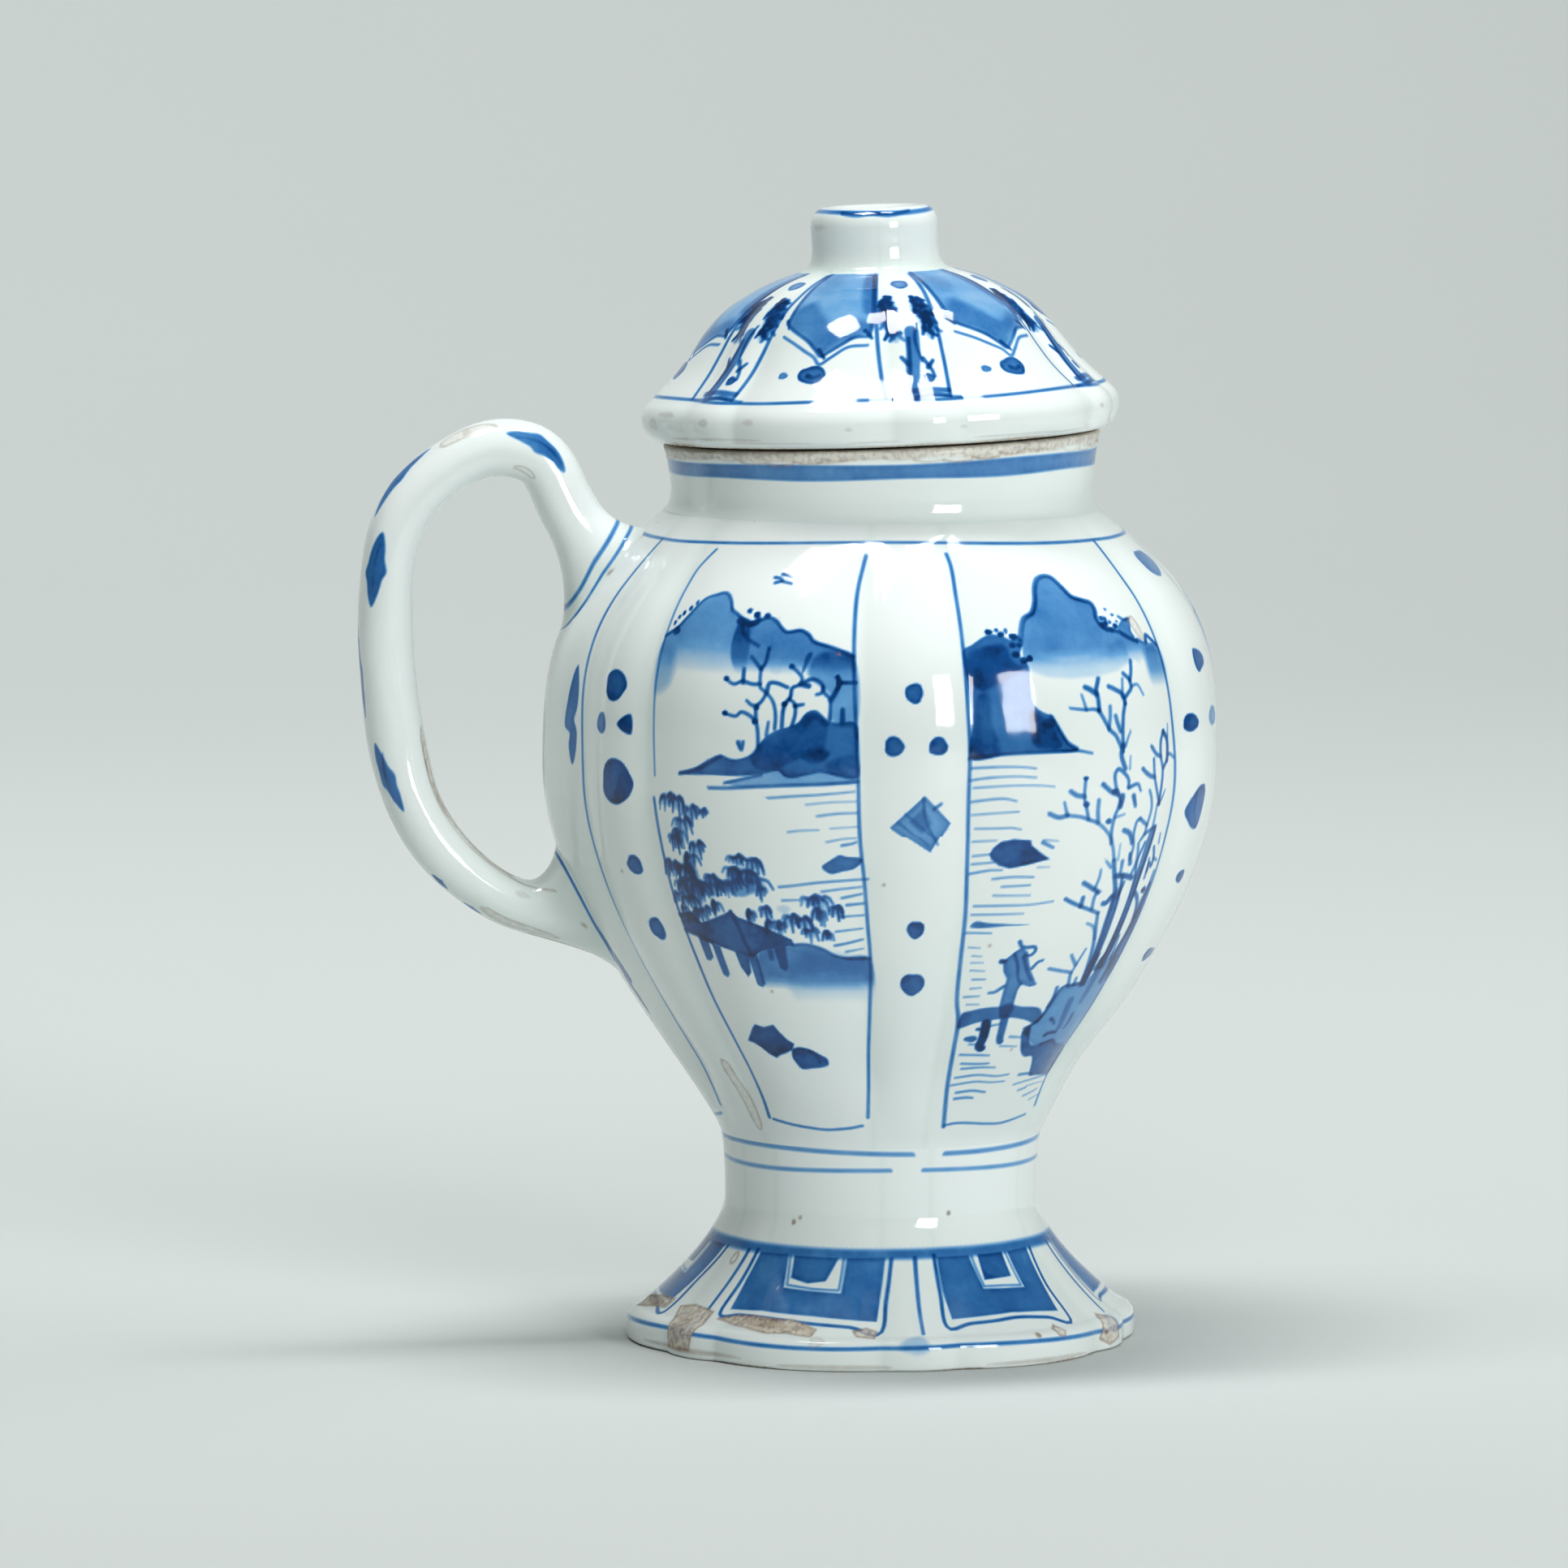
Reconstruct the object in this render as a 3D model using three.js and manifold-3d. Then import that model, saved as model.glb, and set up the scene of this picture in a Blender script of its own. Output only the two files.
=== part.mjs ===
// A covered mustard pot of porcelain: lobed body on a spreading foot, loop handle, domed cover.
// Sizes are in millimetres, +Z is up, and the handle points to -X.
// The origin is the middle of the whole pot's footprint, on the table.

import * as THREE from 'three';
import { mergeVertices } from 'three/addons/utils/BufferGeometryUtils.js';
import Module from 'manifold-3d';

const wasm = await Module();
wasm.setup();

// Foot and stem
const footRadius = 31.9;
const footHeight = 17.4;
const footEdgeHeight = 4;
const footEdgeRound = 1.5;
const footRingWidth = 3.6;
const footRingBevel = 1;
const footSweep = 1.5;
const stemRadius = 19.5;
const stemHeight = 8.6;
const stemTop = footHeight + stemHeight;
const stemFlare = 0.5;
const stemWall = 4;

// Body
const bellyRadius = 42.15;
const bellyRise = 46.8;
const bellyHeight = stemTop + bellyRise;
const seamDrop = 6;
const seamHeight = bellyHeight - seamDrop;
const shoulderRise = 31.6;
const shoulderTop = bellyHeight + shoulderRise;
const lowerSwell = 1.15;
const upperSwell = 1.65;
const bodyWall = 3.6;
const floorThickness = 4.5;

// Neck
const neckRadius = 26.2;
const neckFlare = 1;
const neckWall = 3.5;
const neckHeight = 8.4;
const rimHeight = shoulderTop + neckHeight;
const seatTilt = THREE.MathUtils.degToRad(2);

// Lobes: six wide ones, with a narrow rib between each two
const lobeCount = 6;
const wideAngle = 42;
const lobeDepth = 1.5;
const ribDepth = 0.95;
const lobeRise = 11;
const lobeFade = 9;
const footLobeDepth = 1.2;
const coverLobeDepth = 1.2;
const coverLobeFade = 4;
const footTurn = 3;
const coverTurn = 6;

// Handle: its reach is from the pot's axis, and its heights are those of its middle line
const handleReach = 65.4;
const handleRise = 6.5;
const handleTop = shoulderTop + handleRise;
const upperJointDrop = 8.2;
const handleUpperJoint = shoulderTop - upperJointDrop;
const lowerJointDrop = 18.2;
const handleLowerJoint = bellyHeight - lowerJointDrop;
const handleWidth = 8.2;
const handleInnerFlat = 0.9;
const handleThickTop = 7.4;
const handleThickLow = 6;
const handleFlare = 3.3;
const handleFlareLength = 7;
const jointGap = 0.4;

// Cover
const seatGap = 0.3;
const coverRimRadius = 29.8;
const coverRimRoll = 3.1;
const coverHeight = 20.6;
const coverWall = 3.2;
const flangeClearance = 1;
const flangeThickness = 2.8;
const flangeDepth = 5;
const flangeBevel = 0.6;
const knobRadius = 7.95;
const knobBaseRadius = 9.4;
const knobHeight = 7.6;
const knobCoveHeight = 1.8;
const knobRound = 1.8;
const knobDish = 0.7;

// Facets
const wideSteps = 5;
const ribSteps = 2;
const wallSteps = 8;
const handleSteps = 44;
const handleSides = 18;

const quarter = Math.PI / 2;
const point = (r, z) => new THREE.Vector2(r, z);
const bevelCut = 1 - Math.SQRT1_2;
const steps = (count) => Array.from({ length: count + 1 }, (_, i) => i / count);

// The outer wall's radius at a height, on the crest of a wide lobe.
function lowerRadius(z) {
  const rise = (z - stemTop) / (bellyHeight - stemTop);
  const base = stemRadius + stemFlare;
  return base + (bellyRadius - base) * Math.sin(quarter * rise) ** lowerSwell;
}

function upperRadius(z) {
  const rise = (z - bellyHeight) / (shoulderTop - bellyHeight);
  return neckRadius + (bellyRadius - neckRadius) * Math.cos(quarter * rise ** upperSwell);
}

const bodyRadius = (z) => (z < bellyHeight ? lowerRadius(z) : upperRadius(z));

// How deep a crease is at an angle, as a drop from the crest of the wide lobe.
function creaseDrop(degrees, depth) {
  const sector = 360 / lobeCount;
  const half = wideAngle / 2;
  const ribHalf = (sector - wideAngle) / 2;
  const off = Math.abs(THREE.MathUtils.euclideanModulo(degrees + sector / 2, sector) - sector / 2);
  if (off <= half) return depth * (off / half) ** 2;
  return depth - depth * (ribDepth / lobeDepth) * (1 - ((sector / 2 - off) / ribHalf) ** 2);
}

// The angles of the facets: they fall on the creases, where a wide lobe meets a rib.
const facetAngles = [];
for (let lobe = 0; lobe < lobeCount; lobe += 1) {
  const sector = 360 / lobeCount;
  const start = lobe * sector - wideAngle / 2;
  for (let i = 0; i < wideSteps; i += 1) facetAngles.push(start + (wideAngle * i) / wideSteps);
  for (let i = 0; i < ribSteps; i += 1) {
    facetAngles.push(start + wideAngle + ((sector - wideAngle) * i) / ribSteps);
  }
}

// Turns an outline round the axis. depthAt gives the lobes' depth at a point of the outline.
// LatheGeometry lists its vertices outline by outline, which gives each one its angle.
function turned(outline, depthAt = () => 0, turn = 0) {
  const geometry = new THREE.LatheGeometry(outline, facetAngles.length);
  const place = geometry.attributes.position;
  for (let i = 0; i < place.count; i += 1) {
    const degrees = facetAngles[Math.floor(i / outline.length) % facetAngles.length];
    const at = outline[i % outline.length];
    const radius = at.x === 0 ? 0 : at.x - creaseDrop(degrees, depthAt(at));
    const angle = THREE.MathUtils.degToRad(degrees + turn);
    place.setXYZ(i, radius * Math.cos(angle), radius * Math.sin(angle), at.y);
  }
  return geometry;
}

// The lobes swell above the stem and fade out below the neck. They are only on the outer wall.
function bodyLobes(at) {
  if (at.x < bodyRadius(at.y) - bodyWall / 2) return 0;
  const up = THREE.MathUtils.smoothstep(at.y, stemTop, stemTop + lobeRise);
  const down = THREE.MathUtils.smoothstep(shoulderTop - at.y, 0, lobeFade);
  return lobeDepth * up * down;
}

function footGeometry() {
  const slopeStart = footRadius - footEdgeRound;
  const outer = [
    point(footRadius - footRingWidth, 0),
    point(footRadius, 0),
    point(footRadius, footEdgeHeight - footEdgeRound),
    point(footRadius - footEdgeRound * bevelCut, footEdgeHeight - footEdgeRound * bevelCut),
  ];
  for (const s of steps(wallSteps)) {
    const z = footEdgeHeight + (footHeight - footEdgeHeight) * s;
    outer.push(point(stemRadius + (slopeStart - stemRadius) * (1 - s) ** footSweep, z));
  }
  outer.push(point(stemRadius, footHeight + stemHeight / 2));
  outer.push(point(stemRadius + stemFlare, stemTop));
  const inner = [];
  for (const s of steps(wallSteps / 2)) {
    const z = stemTop + (footEdgeHeight - stemTop) * s;
    const spread = Math.max(0, (footHeight - z) / (footHeight - footEdgeHeight));
    inner.push(point(stemRadius - stemWall + (slopeStart - stemRadius) * spread ** footSweep, z));
  }
  inner[inner.length - 1].x = footRadius - footRingWidth - footRingBevel;
  const depthAt = (at) => {
    const onWall = outer.indexOf(at) > 0;
    return onWall ? footLobeDepth * THREE.MathUtils.smoothstep(footHeight - at.y, 0, footHeight) : 0;
  };
  return turned([...outer, ...inner, outer[0]], depthAt, footTurn);
}

function lowerBodyGeometry() {
  const floor = stemTop + floorThickness;
  const outer = steps(wallSteps).map((s) => {
    const z = stemTop + (seamHeight - stemTop) * s;
    return point(lowerRadius(z), z);
  });
  const inner = steps(wallSteps - 2).map((s) => {
    const z = seamHeight + (floor - seamHeight) * s;
    return point(lowerRadius(z) - bodyWall, z);
  });
  return turned([point(0, stemTop), ...outer, ...inner, point(0, floor)], bodyLobes);
}

function upperBodyGeometry() {
  const wall = (count) => steps(count).map((s) => {
    const z = seamHeight + (shoulderTop - seamHeight) * Math.sin(quarter * s);
    return point(bodyRadius(z), z);
  });
  const outer = wall(wallSteps + 3);
  const inner = wall(wallSteps).map((at) => point(at.x - bodyWall, at.y)).reverse();
  inner[0].x = neckRadius - neckWall;
  return turned([...outer, ...inner, outer[0]], bodyLobes);
}

// The rim slopes, so the neck is sheared towards its top.
function neckGeometry() {
  const outer = steps(4).map((s) => point(neckRadius + neckFlare * s * s, shoulderTop + neckHeight * s));
  const inner = steps(2).map((s) => point(neckRadius - neckWall, rimHeight - neckHeight * s));
  const geometry = turned([...outer, ...inner, outer[0]]);
  const place = geometry.attributes.position;
  for (let i = 0; i < place.count; i += 1) {
    const share = (place.getZ(i) - shoulderTop) / neckHeight;
    place.setZ(i, place.getZ(i) + share * place.getX(i) * Math.tan(seatTilt));
  }
  return geometry;
}

// The handle's ends, outward and upward from the joint: its root inside the wall, and where it springs.
const upperRoot = [-2.5, -4.5];
const upperSpring = [3.2, 6.1];
const lowerRoot = [-4, 0.3];

// The handle's course, as shares of its reach and of its height, from the lower joint to the top.
const handleCourse = [
  [0.31, 0.97],
  [0.5, 1],
  [0.77, 0.935],
  [0.93, 0.83],
  [1, 0.61],
  [0.98, 0.365],
  [0.89, 0.197],
  [0.68, 0.07],
  [0.36, 0],
];

function handleCurve() {
  const upper = bodyRadius(handleUpperJoint);
  const lower = bodyRadius(handleLowerJoint);
  const meanThick = (handleThickTop + handleThickLow) / 2;
  const reach = handleReach - meanThick / 2;
  const course = handleCourse.map(([out, up]) => [
    upper + (reach - upper) * out,
    handleLowerJoint + (handleTop - handleLowerJoint) * up,
  ]);
  const places = [
    [upper + upperRoot[0], handleUpperJoint + upperRoot[1]],
    [upper + upperSpring[0], handleUpperJoint + upperSpring[1]],
    ...course,
    [lower + lowerRoot[0], handleLowerJoint + lowerRoot[1]],
  ];
  const points = places.map(([r, z]) => new THREE.Vector3(-r, 0, z));
  return new THREE.CatmullRomCurve3(points, false, 'centripetal');
}

// A rounded strap: a unit cylinder bent along the curve, flatter inside than outside.
function handleGeometry() {
  const curve = handleCurve();
  const length = curve.getLength();
  const geometry = new THREE.CylinderGeometry(1, 1, 1, handleSides, handleSteps);
  const place = geometry.attributes.position;
  const side = new THREE.Vector3(0, 1, 0);
  for (let i = 0; i < place.count; i += 1) {
    const along = 0.5 - place.getY(i);
    const across = place.getX(i);
    const out = place.getZ(i);
    const centre = curve.getPointAt(along);
    const outward = new THREE.Vector3().crossVectors(side, curve.getTangentAt(along));
    const fromEnd = Math.min(along, 1 - along) * length;
    const flare = handleFlare * Math.exp(-((fromEnd / handleFlareLength) ** 2));
    const thick = THREE.MathUtils.lerp(handleThickTop, handleThickLow, along) / 2 + flare;
    const wide = handleWidth / 2 + flare;
    const flat = out < 0 ? 1 : handleInnerFlat;
    centre.addScaledVector(outward, -out * thick * flat);
    centre.addScaledVector(side, across * wide);
    place.setXYZ(i, centre.x, centre.y, centre.z);
  }
  return cut(geometry, bodyEnvelope());
}

// The body's outer wall with the joint's gap round it, as a tool that trims the handle.
function bodyEnvelope() {
  const wall = steps(4 * wallSteps).map((s) => {
    const z = stemTop + (shoulderTop - stemTop) * s;
    return point(bodyRadius(z), z);
  });
  const depths = new Map(wall.map((at) => [at, bodyLobes(at)]));
  for (const at of wall) at.x += jointGap;
  return turned([point(0, stemTop), ...wall, point(0, shoulderTop)], (at) => depths.get(at) ?? 0);
}

// Outline of the dome above its rolled edge, as shares of its spread and its height.
const domeShape = [[1, 0], [0.91, 0.09], [0.82, 0.22], [0.69, 0.44], [0.49, 0.71], [0.24, 0.9], [0, 1]];

function coverDomeGeometry() {
  const rollCentre = point(coverRimRadius - coverRimRoll, seatGap + coverRimRoll);
  const underInner = neckRadius - neckWall - flangeClearance - flangeThickness;
  const domeBase = rollCentre.y + coverRimRoll * 0.9;
  const domeEdge = rollCentre.x + coverRimRoll * 0.3;
  const rollEnd = 1.15;
  const roll = steps(5).map((s) => {
    const angle = -quarter + s * (quarter + rollEnd);
    const out = coverRimRoll * Math.cos(angle);
    return point(rollCentre.x + out, rollCentre.y + coverRimRoll * Math.sin(angle));
  });
  const dome = new THREE.SplineCurve(domeShape.map(([out, up]) => point(
    knobBaseRadius + (domeEdge - knobBaseRadius) * out,
    domeBase + (coverHeight - domeBase) * up,
  )));
  const outer = [...roll, ...dome.getPoints(2 * (wallSteps - 1)).slice(1)];
  const innerDome = dome.getPoints(wallSteps).slice(2);
  const inner = innerDome.map((at) => point(at.x - coverWall, at.y - coverWall));
  const outline = [
    point(0, coverHeight - coverWall),
    ...inner.reverse().filter((at) => at.x < underInner + 2 && at.x > 1),
    point(underInner, seatGap + coverWall),
    point(underInner, seatGap),
    ...outer,
    point(0, coverHeight),
  ];
  const lobed = new Set(outer);
  const depthAt = (at) => {
    if (!lobed.has(at) || at.y <= seatGap) return 0;
    return coverLobeDepth * THREE.MathUtils.smoothstep(at.x, knobBaseRadius, domeEdge - coverLobeFade);
  };
  return turned(outline, depthAt, coverTurn);
}

function coverFlangeGeometry() {
  const outer = neckRadius - neckWall - flangeClearance;
  const inner = outer - flangeThickness;
  return turned([
    point(inner, -flangeDepth),
    point(outer - flangeBevel, -flangeDepth),
    point(outer, -flangeDepth + flangeBevel),
    point(outer, 0),
    point(inner, 0),
    point(inner, -flangeDepth),
  ]);
}

function coverKnobGeometry() {
  const bottom = coverHeight + seatGap;
  const top = bottom + knobHeight;
  const cove = knobBaseRadius - knobRadius;
  return turned([
    point(0, bottom),
    point(knobBaseRadius, bottom),
    point(knobBaseRadius - cove * Math.SQRT1_2, bottom + knobCoveHeight * (1 - Math.SQRT1_2)),
    point(knobRadius, bottom + knobCoveHeight),
    point(knobRadius, top - knobRound),
    point(knobRadius - knobRound * bevelCut, top - knobRound * bevelCut),
    point(knobRadius - knobRound, top),
    point(knobRadius - 2 * knobRound, top - knobDish / 2),
    point(0, top - knobDish),
  ]);
}

// Booleans: a mesh with shared corners becomes a solid, and the result a geometry again.
function solid(geometry) {
  const bare = geometry.clone();
  bare.deleteAttribute('normal');
  bare.deleteAttribute('uv');
  const merged = mergeVertices(bare, 1e-4);
  return new wasm.Manifold(new wasm.Mesh({
    numProp: 3,
    vertProperties: merged.attributes.position.array,
    triVerts: Uint32Array.from(merged.index.array),
  }));
}

function cut(geometry, tool) {
  const mesh = solid(geometry).subtract(solid(tool)).getMesh();
  const result = new THREE.BufferGeometry();
  result.setAttribute('position', new THREE.BufferAttribute(mesh.vertProperties, 3));
  result.setIndex(new THREE.BufferAttribute(mesh.triVerts, 1));
  result.computeVertexNormals();
  return result;
}

const glaze = new THREE.MeshStandardMaterial({ color: 0xdfe7e4, roughness: 0.12, metalness: 0 });
const painted = new THREE.MeshStandardMaterial({ color: 0xc3d0dc, roughness: 0.12, metalness: 0 });
const bareClay = new THREE.MeshStandardMaterial({ color: 0xcfc3b0, roughness: 0.7, metalness: 0 });

function part(name, geometry, material) {
  const mesh = new THREE.Mesh(geometry, material);
  mesh.name = name;
  return mesh;
}

const cover = new THREE.Group();
cover.add(part('cover_dome', coverDomeGeometry(), painted));
cover.add(part('cover_flange', coverFlangeGeometry(), bareClay));
cover.add(part('cover_knob', coverKnobGeometry(), glaze));
cover.position.z = rimHeight;
cover.rotation.y = -seatTilt;

const pot = new THREE.Group();
pot.add(part('foot', footGeometry(), painted));
pot.add(part('lower_body', lowerBodyGeometry(), painted));
pot.add(part('upper_body', upperBodyGeometry(), painted));
pot.add(part('neck', neckGeometry(), glaze));
pot.add(part('handle', handleGeometry(), glaze));
pot.add(cover);

const middle = new THREE.Box3().setFromObject(pot, true).getCenter(new THREE.Vector3());
pot.position.set(-middle.x, -middle.y, 0);

export default pot;
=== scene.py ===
# %% [markdown]
# # A covered mustard pot in painted porcelain
# The frame holds every piece at its real size, in metres. This lesson rebuilds the pieces with a fine
# surface, paints them in cobalt blue as a potter's painter would, and lights them as in a small studio.

# %% Load the frame
import bpy
import bmesh
import math
import numpy as np
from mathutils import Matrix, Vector


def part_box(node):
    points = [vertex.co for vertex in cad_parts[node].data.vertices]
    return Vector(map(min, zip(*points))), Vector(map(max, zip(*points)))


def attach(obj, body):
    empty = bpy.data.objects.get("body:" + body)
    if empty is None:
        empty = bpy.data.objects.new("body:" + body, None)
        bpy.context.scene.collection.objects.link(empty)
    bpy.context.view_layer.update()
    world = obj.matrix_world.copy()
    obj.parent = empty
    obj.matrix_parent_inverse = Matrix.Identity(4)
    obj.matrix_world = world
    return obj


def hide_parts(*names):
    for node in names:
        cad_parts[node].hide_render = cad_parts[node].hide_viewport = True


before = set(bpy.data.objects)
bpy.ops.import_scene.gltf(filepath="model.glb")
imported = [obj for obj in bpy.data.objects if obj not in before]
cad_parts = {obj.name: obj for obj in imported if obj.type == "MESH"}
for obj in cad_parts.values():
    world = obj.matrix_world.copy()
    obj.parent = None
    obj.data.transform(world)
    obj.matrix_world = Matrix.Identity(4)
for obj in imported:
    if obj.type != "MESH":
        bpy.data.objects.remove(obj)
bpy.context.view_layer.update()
print("nodes:", sorted(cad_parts))

# %% [markdown]
# The pot's own axis isn't the origin, because the handle stands out on one side. The neck is round,
# so the middle of its box is the axis. Some heights of the pot are read from the boxes too, and turned
# into millimetres, which are easier to think in for a thing this small. The nodes have facets, so the
# true radii and the other sizes are given here.

# %% Measure the pieces
MM = 0.001


def extent(node):
    low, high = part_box(node)
    return np.array(low) / MM, np.array(high) / MM


neck_low, neck_high = extent("neck")
AXIS_X = (neck_low[0] + neck_high[0]) / 2
STEM_BOTTOM = 17.4
STEM_TOP = extent("lower_body")[0][2]
SEAM = extent("lower_body")[1][2]
BELLY_HEIGHT = STEM_TOP + 46.8
SHOULDER_TOP = extent("upper_body")[1][2]
RIM_HEIGHT = SHOULDER_TOP + 8.4
FOOT_RADIUS = 31.9
STEM_RADIUS = 19.5
STEM_FLARE = 0.5
BELLY_RADIUS = 42.15
NECK_RADIUS = 26.2
NECK_FLARE = 1.0
RIM_RADIUS = NECK_RADIUS + NECK_FLARE
SEAT_TILT = math.radians(2)
WALL = 3.6
FLOOR = 4.5
print("axis at x =", round(AXIS_X, 2), "mm; seam at", round(SEAM, 2), "mm; shoulder at",
      round(SHOULDER_TOP, 2))

# %% [markdown]
# The photograph was taken with a long lens from a little above. A camera far away, with a long focal
# length, gives the same flat perspective.

# %% Camera
camera_distance = 1.250
camera_height = 0.1908
camera_azimuth = math.radians(-6.5)
camera_pitch = math.radians(5.554)
camera_yaw = math.radians(0.554)
camera_data = bpy.data.cameras.new("camera")
camera_data.sensor_width = 36
camera_data.lens = 231.3
camera = bpy.data.objects.new("camera", camera_data)
camera.location = (
    AXIS_X * MM + camera_distance * math.sin(camera_azimuth),
    -camera_distance * math.cos(camera_azimuth),
    camera_height,
)
camera.rotation_euler = (math.pi / 2 - camera_pitch, 0, camera_azimuth + camera_yaw)
bpy.context.collection.objects.link(camera)
bpy.context.scene.camera = camera

# %% [markdown]
# A sheet that curves up behind the pot gives one even ground without a horizon, as a roll of paper
# does. It starts as a flat grid, and its far end is bent up round a wide radius.

# %% Paper sweep
SWEEP_START = 0.9
SWEEP_RADIUS = 1.2


def sweep_place(y):
    if y < SWEEP_START:
        return y, 0.0
    angle = min((y - SWEEP_START) / SWEEP_RADIUS, math.pi / 2)
    rest = max(0.0, y - SWEEP_START - SWEEP_RADIUS * math.pi / 2)
    return SWEEP_START + SWEEP_RADIUS * math.sin(angle), SWEEP_RADIUS * (1 - math.cos(angle)) + rest


paper_mesh = bpy.data.meshes.new("paper")
paper_bm = bmesh.new()
bmesh.ops.create_grid(paper_bm, x_segments=1, y_segments=60, size=4)
for vert in paper_bm.verts:
    vert.co.y, vert.co.z = sweep_place(vert.co.y)
for face in paper_bm.faces:
    face.smooth = True
paper_bm.to_mesh(paper_mesh)
paper_bm.free()
paper = bpy.data.objects.new("paper", paper_mesh)
bpy.context.collection.objects.link(paper)

# %% [markdown]
# Shader maths reads best as plain expressions. `Value` wraps a socket, so `ink * clouds + 0.1` adds
# the Math nodes by itself. `Shader.add` makes any other node.


# %% Shader helpers
class Value:
    def __init__(self, shader, socket):
        self.shader = shader
        self.socket = socket

    def maths(self, operation, *others):
        node = self.shader.add("ShaderNodeMath", {"operation": operation}, {})
        for i, item in enumerate((self, *others)):
            self.shader.feed(node.inputs[i], item)
        return Value(self.shader, node.outputs[0])

    def __add__(self, other):
        return self.maths("ADD", other)

    def __mul__(self, other):
        return self.maths("MULTIPLY", other)

    def __sub__(self, other):
        return self.maths("SUBTRACT", other)

    def __rsub__(self, other):
        return (self * -1.0) + other

    __radd__ = __add__
    __rmul__ = __mul__

    def limit(self):
        return self.maths("MAXIMUM", 0.0).maths("MINIMUM", 1.0)

    def between(self, low, high):
        """0 below low, 1 above high, and smooth in between."""
        node = self.shader.add("ShaderNodeMapRange", {"interpolation_type": "SMOOTHSTEP"},
                               {"Value": self, "From Min": low, "From Max": high})
        return Value(self.shader, node.outputs["Result"])


class Shader:
    def __init__(self, name):
        self.material = bpy.data.materials.new(name)
        self.material.use_nodes = True
        self.tree = self.material.node_tree
        self.surface = self.tree.nodes["Principled BSDF"]

    def feed(self, socket, item):
        if isinstance(item, Value):
            self.tree.links.new(item.socket, socket)
        elif item is not None:
            socket.default_value = item

    def add(self, kind, settings, sockets):
        node = self.tree.nodes.new(kind)
        for key, item in settings.items():
            setattr(node, key, item)
        for key, item in sockets.items():
            self.feed(node.inputs[key], item)
        return node

    def attribute(self, name):
        return Value(self, self.add("ShaderNodeAttribute", {"attribute_name": name}, {}).outputs["Fac"])

    def place(self):
        return Value(self, self.add("ShaderNodeTexCoord", {}, {}).outputs["Object"])

    def noise(self, scale, detail=2.0, rough=0.5):
        node = self.add("ShaderNodeTexNoise", {},
                        {"Vector": self.place(), "Scale": scale, "Detail": detail, "Roughness": rough})
        return Value(self, node.outputs["Fac"])

    def mix(self, factor, first, second):
        node = self.add("ShaderNodeMix", {"data_type": "RGBA"}, {"Factor": factor})
        self.feed(node.inputs[6], first)
        self.feed(node.inputs[7], second)
        return Value(self, node.outputs[2])

    def ramp(self, value, stops):
        node = self.add("ShaderNodeValToRGB", {}, {"Fac": value})
        elements = node.color_ramp.elements
        while len(elements) < len(stops):
            elements.new(0.5)
        for element, (position, colour) in zip(elements, stops):
            element.position = position
            element.color = colour
        return Value(self, node.outputs["Color"])

    def bump(self, height, distance, strength=1.0):
        node = self.add("ShaderNodeBump", {},
                        {"Height": height, "Distance": distance, "Strength": strength})
        self.feed(self.surface.inputs["Normal"], Value(self, node.outputs["Normal"]))


def colour(red, green, blue):
    """A colour from screen values of 0 to 255, as the linear light that shaders work in."""
    return tuple(((c / 255 + 0.055) / 1.055) ** 2.4 for c in (red, green, blue)) + (1.0,)


# %% [markdown]
# The paper is a plain matt grey-green, with the faintest clouding so that it isn't a flat colour.

# %% Paper finish
sheet_paper = Shader("studio_paper")
paper_cloud = sheet_paper.noise(3.0)
sheet_paper.feed(sheet_paper.surface.inputs["Base Color"],
                 sheet_paper.mix(paper_cloud, colour(190, 196, 194), colour(194, 200, 198)))
sheet_paper.surface.inputs["Roughness"].default_value = 0.9
paper_mesh.materials.append(sheet_paper.material)

# %% [markdown]
# The box at the right is the one that the glaze reflects as small windows, and it throws the shadow to
# the left. Two small boxes overhead are only seen in the glaze. The others are large and far off, and only
# lift the pot's front and the paper behind it.


# %% Lights
def soft_box(name, place, aim, size, power, lights=True, reflected=True):
    data = bpy.data.lights.new(name, "AREA")
    data.shape = "RECTANGLE"
    data.size, data.size_y = size
    data.energy = power
    lamp = bpy.data.objects.new(name, data)
    lamp.location = place
    lamp.rotation_euler = (Vector(place) - Vector(aim)).to_track_quat("Z", "Y").to_euler()
    lamp.visible_diffuse = lights
    lamp.visible_glossy = reflected
    bpy.context.collection.objects.link(lamp)


soft_box("key_box", (0.54, -0.95, 0.34), (0.01, 0, 0.07), (0.3, 0.46), 6.1)
soft_box("glint_box", (-0.17, -0.06, 1.1), (0, 0, 0.05), (0.32, 0.3), 5.8, lights=False)
soft_box("second_glint_box", (0.2, -0.02, 1.1), (0, 0, 0.05), (0.2, 0.2), 2, lights=False)
soft_box("front_fill", (0.0, -1.3, 0.9), (0, 0, 0.05), (0.6, 0.6), 5.2, reflected=False)
soft_box("side_fill", (0.9, 0.1, 0.45), (0, 0, 0.06), (0.5, 0.5), 2.1, reflected=False)
soft_box("sweep_wash", (-0.2, 0.0, 1.3), (-0.4, 1.6, 0.2), (1.2, 0.5), 16, reflected=False)
soft_box("wall_wash", (-0.05, 0.1, 2.2), (-0.45, 2.1, 0.7), (1.6, 0.5), 34, reflected=False)
world = bpy.data.worlds.new("studio")
world.use_nodes = True
world.node_tree.nodes["Background"].inputs["Color"].default_value = colour(222, 236, 232)
world.node_tree.nodes["Background"].inputs["Strength"].default_value = 0.08
bpy.context.scene.world = world
bpy.context.scene.view_settings.view_transform = "Standard"

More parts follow.
